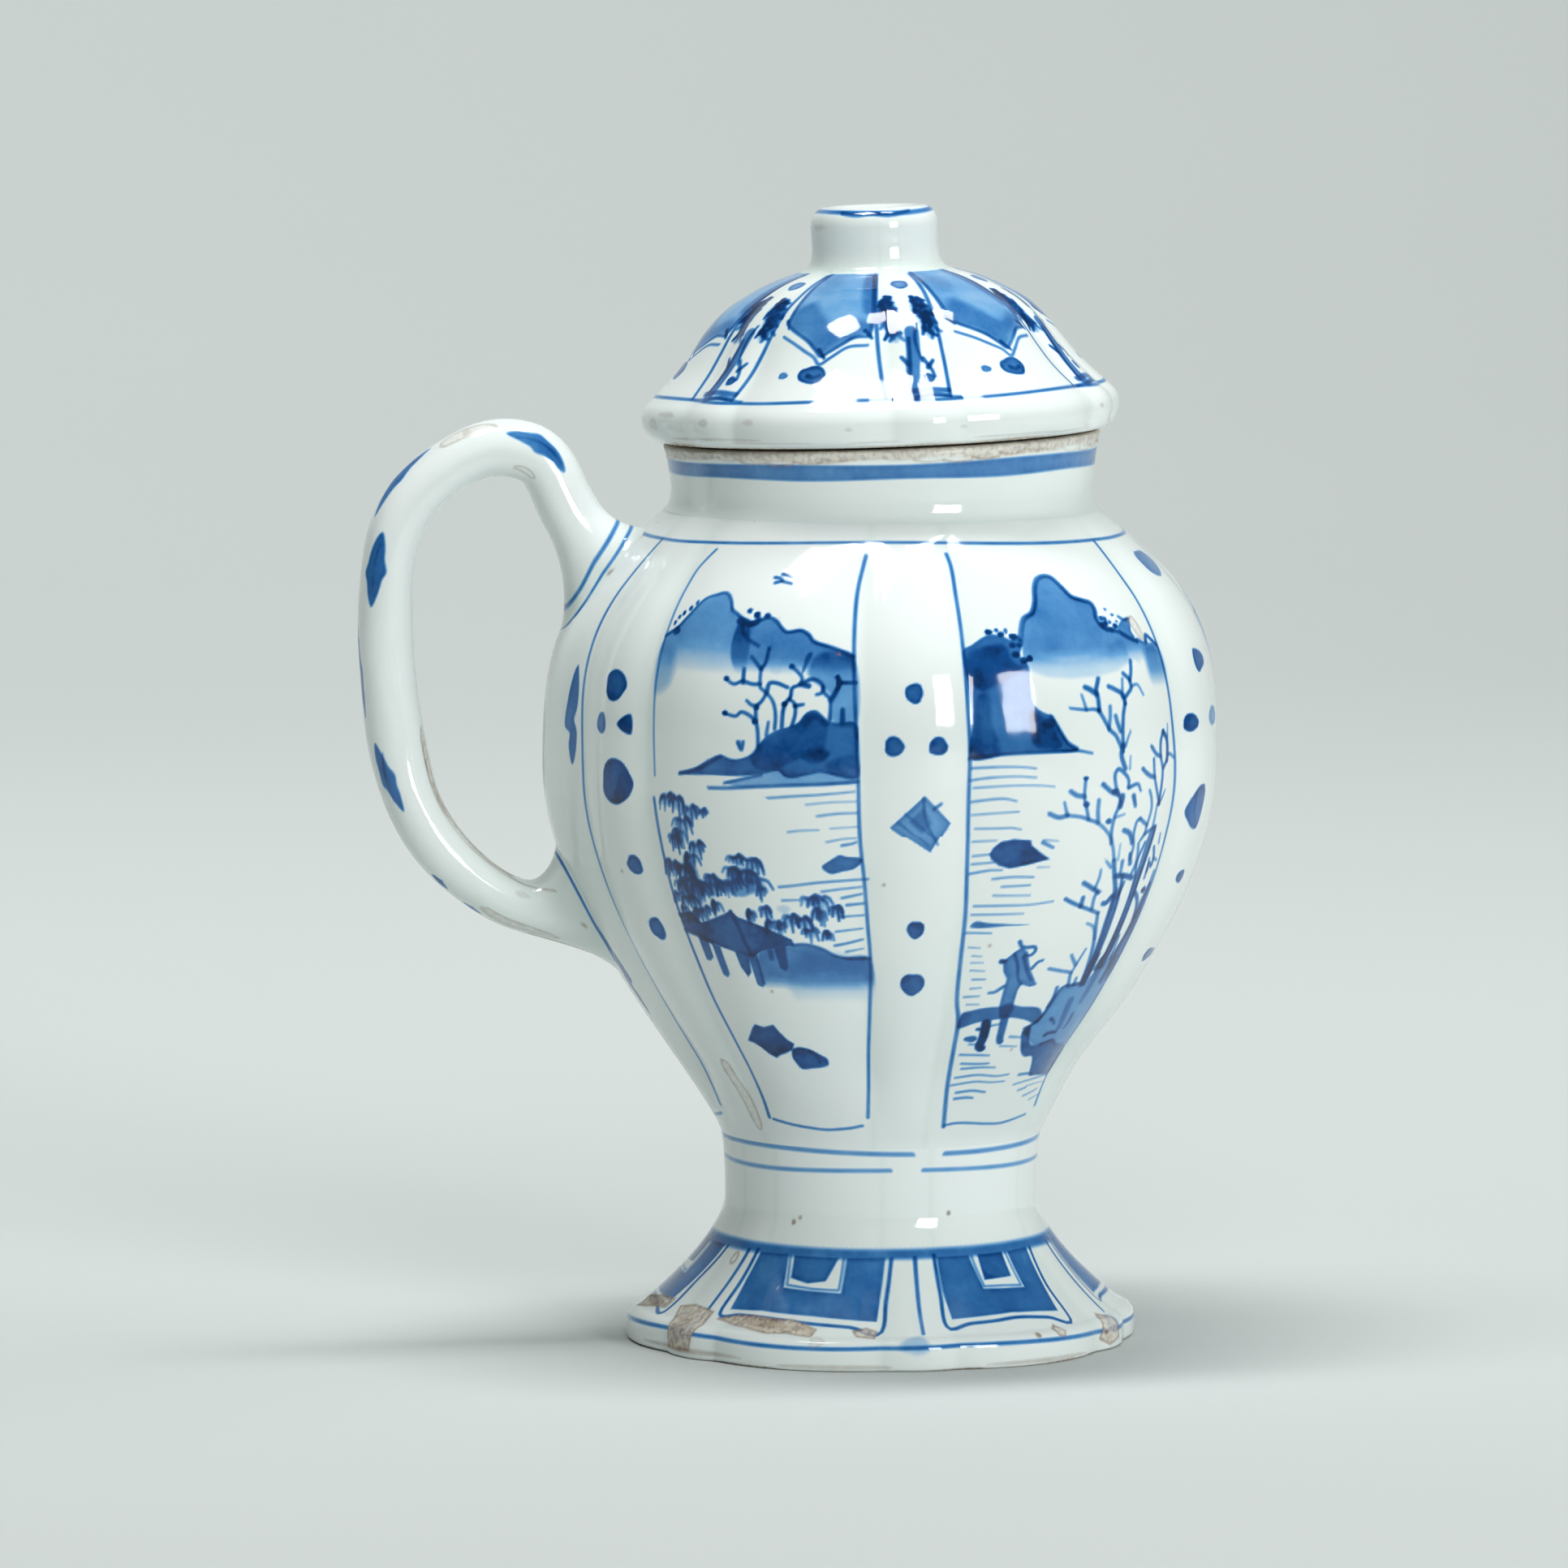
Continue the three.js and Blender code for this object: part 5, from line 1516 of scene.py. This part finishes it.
def hanging_panel():
    """A wide lobe of the cover: degrees from its middle, millimetres up from the widest edge."""
    marks = [
        patch("-17,27.2 -16.4,20 -15.8,15.4 -13.5,14.2 -9,13.4 -5,12.3 -2,11.2 0,10.4 2,11 6,11.9 10,12.9 "
              "14,13.3 16,16 16.6,21 17.4,27.2", 0.34, 0.24, rim=0.12, curve=False),
        patch("-15,17 -9,19 -2,16.4 4,14.4 12,15.6 15.6,14.4 10,13.2 4,12 0,10.8 -6,13 -15,15", 0.32, 0.7),
        patch("11,26.6 16.6,26.6 15.4,17 12.6,17", 0.34, 0.4),
        patch("-14,26 -6,26.6 0,23 -6,21 -13,22", 0.16, 0.9),
        brush("-16.4,27 -16.2,20 -16,15.2", 0.4, 0.6, 0),
        brush("17.2,27 16.6,20 16,15.4 14.8,13.2", 0.42, 0.66, 0),
        brush("-16.2,15.1 -13,14.2 -9,13.3 -5,12.3 -2,11.1 0,10.2 2.4,10.8 6,11.8 10,12.8 15,12.9", 0.34,
              0.6, 0),
        brush("-15.4,13 -10,12 -5,10.8 -2,10 0,9 3,9.9 8,11.4 14.2,11.6", 0.3, 0.56, 0),
        spot(-1.5, 7.4, 4.1, 1.35, 0.56, 0.34), spot(-10.5, 7.3, 1.5, 0.5, 0.4),
        brush("-2.6,7.3 -1,7 0.6,7.3", 0.5, 0.5),
    ]
    for x, y in ((-15.6, 14.9), (0.2, 10.5), (14.6, 13.2)):
        marks.append(brush(f"{x - 1.1},{y + 0.6} {x},{y} {x + 1},{y - 0.6}", 0.42, 0.76, 0.4))
    return marks


def needles(x, y, half_x, half_y, count, lean):
    """A dense spray of short strokes that hang within an oval, some much darker than others."""
    marks = [spot(x, y, half_x, half_y, 0.46, 0, soft=0.6)]
    for i in range(count):
        out = math.sqrt((i + 0.5) / count)
        at_x, at_y = x + half_x * out * math.cos(2.4 * i), y + half_y * out * math.sin(2.4 * i)
        side = lean + 2.2 * math.sin(3.1 * i + x)
        drop = 1.1 + 0.4 * math.sin(5 * i)
        line = (f"{at_x:.2f},{at_y + 0.5 * drop:.2f} {at_x + 0.4 * side:.2f},{at_y:.2f} "
                f"{at_x + side:.2f},{at_y - 0.5 * drop:.2f}")
        marks.append(brush(line, 0.5, 0.5 + 0.44 * math.sin(1.9 * i) ** 2, 0.4))
    return marks


def cover_spray():
    """A rib of the cover: two dense sprays of needles on either side of a short stem."""
    return [
        brush("-12.4,26.6 -12.8,20 -12.6,12 -11.6,6 -10.8,3.2", 0.36, 0.62, 0),
        brush("11.6,26.6 10.4,21 9.2,17 8.4,12 7.6,8 6,3.2", 0.38, 0.62, 0),
        spot(0, 23.2, 4.6, 1.15, 0.4, 0.4), brush("-1,13.4 -1.7,10 -2.5,8 -3.6,3.6", 1.3, 0.56, 0.1),
        brush("-2.4,12.4 -3.3,8 -5,4", 0.34, 0.7, 0), brush("1,14.6 -0.4,12 0.6,9", 0.34, 0.6),
        spot(1.6, 6.4, 1.6, 0.7, 0.6), brush("1,9.4 3,7.6 3.4,6.6", 0.4, 0.66),
        brush("-3.6,8.6 -5.4,9.6", 0.5, 0.7), brush("2,8 4,9", 0.44, 0.7),
        brush("-2,3.4 2,3.7 5,3.4", 0.5, 0.6, 0), *needles(-8.4, 16.6, 3.2, 3.2, 26, -0.8),
        *needles(4.4, 17.4, 3, 2.2, 16, 1), *needles(5.6, 14.4, 2.4, 2, 13, 1.2),
        *needles(-7, 13.2, 1.8, 1.2, 7, 0),
    ]


cover_marks = []
for k in range(6):
    rib_at = 270 + COVER_TURN + 60 * k - 360 * (k > 1)
    cover_marks += moved(cover_spray(), rib_at) + moved(hanging_panel(), rib_at + 30)
    cover_marks += moved([brush("-6,4.1 0,4.5 6,4.2", 0.62, 0.6, 0.1),
                          brush("-9,3 0,3.5 9,3", 0.3, 0.5, 0)], rib_at)
cover_marks.append(brush(ring(2.95, 0.2, 6), 0.34, 0.62, 0))

# %% Roll the cover
DOME = [[29.1, 5.11], [27.6, 6.6], [26.2, 7.95], [24.9, 9.35], [23.3, 11.4], [21.3, 14], [18.8, 16.4],
        [16, 18.1],
        [12.9, 19.5], [9.4, 20.6]]


def on_cover(x, radius, height, lobes):
    full = radius - crease_drop(x - COVER_TURN) * lobes + 0.6 * wander(x, height) * (lobes > 0.02)
    angle = np.radians(x)
    out = full * np.cos(angle)
    lean, up = math.sin(SEAT_TILT), math.cos(SEAT_TILT)
    return np.column_stack([AXIS_X + out * up - height * lean, full * np.sin(angle),
                            RIM_HEIGHT + out * lean + height * up])


def cover_lobes(radius, z):
    return (COVER_LOBE_DEPTH * smooth_step(radius, KNOB_BASE, ROLL_RADIUS - 3)
            * smooth_step(z, SEAT_GAP, SEAT_GAP + 1.5))


roll_outline = quarter_round(ROLL_RADIUS, ROLL_HEIGHT, ROLL, -90, 45, 28)
dome_outline = curve_through(np.array(DOME), steps=8)[3:-2]
knob_outline = curve_through(np.array([
    dome_outline[-1], [8.75, 20.95], [8.15, 21.75], [7.85, 23.2], [7.9, 25.2], [7.9, 26.6], [7.55, 27.6],
    [6.85, 28.25], [6, 28.5], [5, 28.35], [3, 27.9], [0, 27.75],
]), steps=6)[1:]
cover_outer = with_lobes(np.vstack([roll_outline, dome_outline, knob_outline]), cover_lobes)
inner_dome = np.array([[0, 17.4], [5, 17.3], [9, 16.4], [13.4, 13.8], [16.6, 10.6], [18.5, 7], [18.9, 3.5]])
cover_inner = with_lobes(np.vstack([curve_through(inner_dome, steps=4), [[18.9, SEAT_GAP]]]), plain)
cover_form = turned([cover_inner, [cover_inner[-1], cover_outer[0]], cover_outer], (2, 3, 0.68), 2,
                    on_cover)


def cover_lengths(form):
    """Marks on the cover are placed by their length up from a little above its widest edge."""
    widest = form.edges[2] + ROLL * math.pi / 2 + 0.6
    return lambda v: widest + v


knob_start = cover_form.edges[2] + ROLL * math.pi / 2 + 28.3
knob_marks = [
    brush(ring(35.6, 0.25, 2, 50, range(0, 361, 20)), 0.55, 0.58, 0, soft=0.22),
    brush("232,35.5 246,35.2 262,35.4 278,35.1 300,35.6", 0.5, 0.5, 0.1), smudge(202, 33.6, 9, 0.3, 0.12),
]
for x, y, long, high, tone in (
    (193, -0.2, 2.4, 0.8, 0.3), (199, 1.2, 3, 0.35, 0.35), (206, -1.9, 6, 0.22, 0.4),
    (216, 0.4, 1, 0.5, 0.3),
    (222, -1.7, 7, 0.2, 0.45), (230, 0.6, 1.3, 0.35, 0.3), (236, -2.2, 8, 0.16, 0.35),
    (256, -0.4, 0.7, 0.2, 0.35),
    (262, -2.3, 6, 0.15, 0.3), (284, -0.6, 0.6, 0.16, 0.35), (299, -2.2, 9, 0.18, 0.3),
    (318, -2.4, 8, 0.2, 0.3),
    (40, -2.1, 8, 0.2, 0.3), (90, -1.9, 7, 0.2, 0.3), (140, -0.8, 5, 0.4, 0.25), (332, 0.4, 1, 0.25, 0.4),
):
    cover_marks.append(smudge(x, y - 0.6, long * 1.3, high * 0.8, tone * 0.62))


def cover_pool(x, v):
    return body_pools(cover_form, COVER_TURN)(x, v) * 0.8 + 0.7 * np.exp(-((v - knob_start) / 1.4) ** 2)


def cover_bare(x, v):
    edge = cover_form.edges[2] + 1.2 + 0.4 * np.sin(np.radians(4 * x)) + 0.2 * np.sin(np.radians(11 * x))
    return np.clip((edge - v) / 0.4, 0, 1) * (v > cover_form.edges[1] - 2)


rolled("painted_cover", cover_form,
       wrapped(moved(cover_marks + knob_marks, 0, False, cover_lengths(cover_form))),
       "cover", ["cover_dome", "cover_knob"], 140,
       layers={"pool": cover_pool, "bare": cover_bare})

# %% [markdown]
# Beneath the dome a bare ring drops into the neck and keeps the cover in its place.

# %% Roll the flange
FLANGE_OUT = NECK_RADIUS - NECK_WALL - 1
FLANGE_IN = FLANGE_OUT - 2.8
flange_outer = with_lobes(np.vstack([
    quarter_round(FLANGE_IN + 0.7, -4.3, 0.7, 180, 270),
    quarter_round(FLANGE_OUT - 0.7, -4.3, 0.7, 270, 360),
    [[FLANGE_OUT, 0]],
]), plain)
flange_form = turned([flange_outer, [flange_outer[-1], [FLANGE_IN, 0, 0]],
                      [[FLANGE_IN, 0, 0], flange_outer[0]]],
                     (0.6, 3, 3), 0, on_cover)
rolled("bare_flange", flange_form, [], "cover", ["cover_flange"],
       layers={"bare": lambda x, v: 1 + 0 * v})

# %% [markdown]
# ## The handle
# A strap of clay was bent into a loop, and its ends were pressed on and smoothed into the wall. Its middle
# line is a smooth curve, and its half thicknesses, outside and inside the loop, change along it. Near each
# end the strap's side opens into a fillet that lands on the body.

# %% The strap's course
HANDLE_WIDTH = 8.2
STRAP_PLACES = (0, 12, 22, 31, 45, 60, 72, 88, 100, 118)
OUTER_HALF = (4.3, 4.4, 4.4, 3.8, 3.5, 3.2, 3.3, 3.3, 3.1, 2.9)
INNER_HALF = (2.9, 2.8, 3.1, 2.9, 3.1, 3.9, 3.8, 3.3, 3.1, 3.0)
HANDLE_REACH = 65.4
MIDDLE_REACH = HANDLE_REACH - 3.35
UPPER_JOINT = SHOULDER_TOP - 8.2
LOWER_JOINT = BELLY_HEIGHT - 18.2
HANDLE_TOP = SHOULDER_TOP + 6.5
COURSE = [[0.29, 0.98], [0.5, 1], [0.77, 0.935], [0.93, 0.83], [0.995, 0.61], [0.95, 0.365], [0.84, 0.2],
          [0.65, 0.085], [0.36, 0]]

upper_wall_radius = float(body_radius(UPPER_JOINT))
lower_wall_radius = float(body_radius(LOWER_JOINT))
middle_reach = MIDDLE_REACH - upper_wall_radius
stations = [[upper_wall_radius - 2.2, UPPER_JOINT - 4.5], [upper_wall_radius + 4.3, UPPER_JOINT + 7.3]]
stations += [[upper_wall_radius + middle_reach * out, LOWER_JOINT + (HANDLE_TOP - LOWER_JOINT) * up]
             for out, up in COURSE]
stations.append([lower_wall_radius - 4, LOWER_JOINT + 0.3])
strap_line = curve_through(np.array(stations), steps=24)
strap_length = np.concatenate([[0], np.cumsum(np.hypot(*np.diff(strap_line, axis=0).T))])
STRAP_END = strap_length[-1]


def on_line(s):
    return np.column_stack([np.interp(s, strap_length, strap_line[:, k]) for k in (0, 1)])


def line_direction(s):
    step = on_line(s + 0.4) - on_line(s - 0.4)
    return step / np.linalg.norm(step, axis=1)[:, None]


def strap_side(x, s):
    """Points on the strap's side, as out from the axis, across and up."""
    along = line_direction(s)
    angle = np.radians(x + 90)
    outside, inside = (np.interp(s, STRAP_PLACES, halves) for halves in (OUTER_HALF, INNER_HALF))
    thick = np.where(np.cos(angle) > 0, outside, inside)
    middle = on_line(s)
    lump = 1 + 0.02 * np.sin(s / 5) + 0.015 * np.sin(s / 2.3 + np.radians(2 * x))
    return np.column_stack([
        middle[:, 0] - along[:, 1] * np.cos(angle) * thick * lump,
        np.sin(angle) * HANDLE_WIDTH / 2 * lump,
        middle[:, 1] + along[:, 0] * np.cos(angle) * thick * lump,
    ])


# %% Where the ends land
def wall_point(across, up, sink=0.0):
    """The point of the body's wall beneath the handle, as out from the axis, across and up."""
    degrees = 180 - np.degrees(np.arcsin(np.clip(across / body_radius(up), -0.95, 0.95)))
    full = body_radius(up) - crease_drop(degrees) * body_lobes(up) + wander(degrees, up) - sink
    angle = np.radians(180 - degrees)
    return np.column_stack([full * np.cos(angle), full * np.sin(angle), up])


def landing(x, s, towards, spread):
    """Where the strap's side meets the wall, moved outwards by the fillet's spread."""
    start = strap_side(x, s)
    flat_way = line_direction(s)
    way = np.column_stack([flat_way[:, 0], 0 * s, flat_way[:, 1]]) * towards
    travel = np.zeros(len(s))
    for _ in range(8):
        at = start + travel[:, None] * way
        short = np.hypot(at[:, 0], at[:, 1]) - body_radius(at[:, 2])
        slope = way[:, 0] - (body_radius(at[:, 2] + 0.1) - body_radius(at[:, 2] - 0.1)) / 0.2 * way[:, 2]
        travel = travel - short / np.minimum(slope, -0.2)
    hit = start + travel[:, None] * way
    middle_s = np.full(1, s[0])
    centre = on_line(middle_s)[0] + line_direction(middle_s)[0] * towards * travel.mean()
    off = hit - np.array([centre[0], 0, centre[1]])
    size = np.hypot(off[:, 1], off[:, 2])[:, None]
    aim = off[:, 1:] / size
    grown = hit[:, 1:] + aim * spread[:, None]
    land = wall_point(grown[:, 0], grown[:, 1], 0.12)
    beyond = wall_point(grown[:, 0] + aim[:, 0], grown[:, 1] + aim[:, 1], 0.12) - land
    return start, way, land, beyond / np.linalg.norm(beyond, axis=1)[:, None], travel


FILLET = 9.0
UPPER_START = 12.5
LOWER_START = STRAP_END - 12.0
strap_spans = [1.5, FILLET + LOWER_START - UPPER_START + FILLET, 1.5]


def end_fillet(x, t, s, towards, spread):
    """t runs from 0 on the strap to 1 on the wall."""
    start, way, land, beyond, travel = landing(x, np.full(len(x), s), towards, spread)
    reach = np.linalg.norm(land - start, axis=1)[:, None]
    return blend_curve(start, way * reach * 1.25, land, beyond * reach * 0.7, t[:, None])


def upper_spread(x):
    inner = np.clip(np.cos(np.radians(x - 90)), 0, 1)
    return 2.7 + 3.0 * inner ** 2


def lower_spread(x):
    inner = np.clip(np.cos(np.radians(x - 90)), 0, 1)
    return 1.9 + 5.0 * inner ** 2


def on_strap(x, v, section):
    face_v = v - strap_spans[0]
    s = face_v - FILLET + UPPER_START
    result = strap_side(x, np.clip(s, UPPER_START, LOWER_START))
    top = s < UPPER_START
    if top.any():
        t = np.clip((UPPER_START - s[top]) / FILLET, 0, 1)
        result[top] = end_fillet(x[top], t, UPPER_START, -1, upper_spread(x[top]))
    low = s > LOWER_START
    if low.any():
        t = np.clip((s[low] - LOWER_START) / FILLET, 0, 1)
        result[low] = end_fillet(x[low], t, LOWER_START, 1, lower_spread(x[low]))
    for index, share in ((0, v / strap_spans[0]), (2, (form_end - v) / strap_spans[2])):
        cap = section == index
        if cap.any():
            middle = cap_middle[index]
            result[cap] = middle + (result[cap] - middle) * np.clip(share[cap], 0, 1)[:, None]
    return np.column_stack([AXIS_X - result[:, 0], result[:, 1], result[:, 2]])


form_end = sum(strap_spans)
cap_middle = {0: wall_point(np.zeros(1), np.array([UPPER_JOINT]), 1.5)[0],
              2: wall_point(np.zeros(1), np.array([LOWER_JOINT]), 1.5)[0]}
strap_form = Form(strap_spans, (1.5, 0.8, 1.5), 1, on_strap, lambda v: np.full(len(np.atleast_1d(v)), 3.9),
                  True)

# %% Paint the handle
SHIFT = strap_spans[0] + FILLET - UPPER_START
STRAP_DEGREES = 14.7  # degrees round the strap for a millimetre across it


def strap_leaf(x, v, long, wide, tone=0.68, lean=0.0):
    """A single leaf on the strap, drawn as a lens with a darker heart."""
    outline = [(-1, 0), (-0.55, 0.55), (-0.15, 0.75), (0.1, 1), (0.35, 0.7), (0.7, 0.5), (1, 0.1),
               (0.5, -0.55),
               (0.25, -0.7), (0, -1), (-0.35, -0.7), (-0.6, -0.6)]
    half = wide * STRAP_DEGREES
    tilt = lean * STRAP_DEGREES
    text = " ".join(f"{x + half * b + tilt * a:.2f},{v + long * a:.2f}" for a, b in outline)
    inner = " ".join(f"{x + 0.4 * half * b + lean * a * 8:.2f},{v + 0.5 * long * a:.2f}" for a,
                     b in outline)
    vein = f"{x - 0.1 * half:.2f},{v - 0.7 * long:.2f} {x + 3:.2f},{v:.2f} {x:.2f},{v + 0.7 * long:.2f}"
    return [patch(text, tone, 0.18, rim=0.16), patch(inner, 0.2, 0.4),
            brush(vein, 0.3, 0.3, 0.6, soft=0.15)]


handle_marks = []
for leaf in ((212, 21.5, 3.3, 1.2, 0.5, 0.3), (253, 37, 4.5, 1.0, 0.52, -0.4), (214, 47.1, 4.4, 1.7, 0.64),
             (258, 59.5, 5.4, 0.8, 0.56, -0.6), (217, 72.3, 4.2, 1.3, 0.56, -1.0),
             (242, 85.8, 1.2, 0.7, 0.62),
             (248, 90.6, 1.2, 0.6, 0.56), (60, 28, 4, 0.9), (20, 52, 4.5, 1), (330, 72, 4.5, 1),
             (350, 30, 4.5, 1)):
    handle_marks += strap_leaf(*leaf)
handle_marks += [
    brush("30,7.4 60,7 90,6.6 125,6.6 160,7.2 200,8 240,8.8 270,9 300,8.6 330,8", 0.36, 0.56, 0),
    brush("30,5.2 60,4.8 90,4.4 125,4.6 160,5.2 200,6 240,6.8 270,7 300,6.6 330,6", 0.36, 0.56, 0),
    brush("30,102.4 60,102.2 90,102 130,102.2 170,102.8 210,103.4 250,104 290,103.8 330,103", 0.42, 0.66,
          0),
    brush("30,104.6 60,104.4 90,104 130,104.4 170,105 210,105.6 250,106.2 290,106 330,105.2", 0.42, 0.66,
          0),
]
wear = [
    ("226,26.2 238,25.8 250,27.6 254,30.2 244,31.4 230,30.4", 0.22),
    ("142,20 152,19.6 158,22 148,23.4", 0.12),
    ("118,67 126,69 126,74 120,79 112,84 112,90 104,93 100,88 104,82 112,76 114,70", 0.6),
    ("214,92 226,91.4 240,94.5 236,97.6 222,97", 0.3), ("250,96.5 268,97 268,99.4 252,99.2", 0.5),
]
for points, tone in wear:
    handle_marks += worn(points, tone, 0.2, 0.16, 0.6, 0.1)
for line in ("124,69 128,76 122,83 118,90 124,96", "112,92 122,95 132,99", "248,96.5 256,99 250,102"):
    handle_marks.append(brush(line, 0.16, 0.75, 0.4, layer="stain"))
for x, v, long, high, tone in ((176, 101, 5, 0.3, 0.5), (245, 106.4, 6, 0.4, 0.5), (186, 4.6, 4, 0.4, 0.7),
                               (120, 78, 8, 3, 0.16), (150, 95, 10, 0.8, 0.16), (240, 28.5, 9, 0.4, 0.15)):
    handle_marks.append(smudge(x, v, long, high, tone))
for mark in handle_marks:
    mark["points"] = mark["points"] + (0, SHIFT)


def strap_pool(x, v):
    from_top = (v - strap_spans[0]) / 4
    from_end = (form_end - strap_spans[2] - v) / 4
    return 0.6 * np.exp(-from_top ** 2) + 0.6 * np.exp(-from_end ** 2)


rolled("loop_handle", strap_form, wrapped(handle_marks), "pot", ["handle"], columns=60,
       levels=2, fine=0.24, layers={"pool": strap_pool})
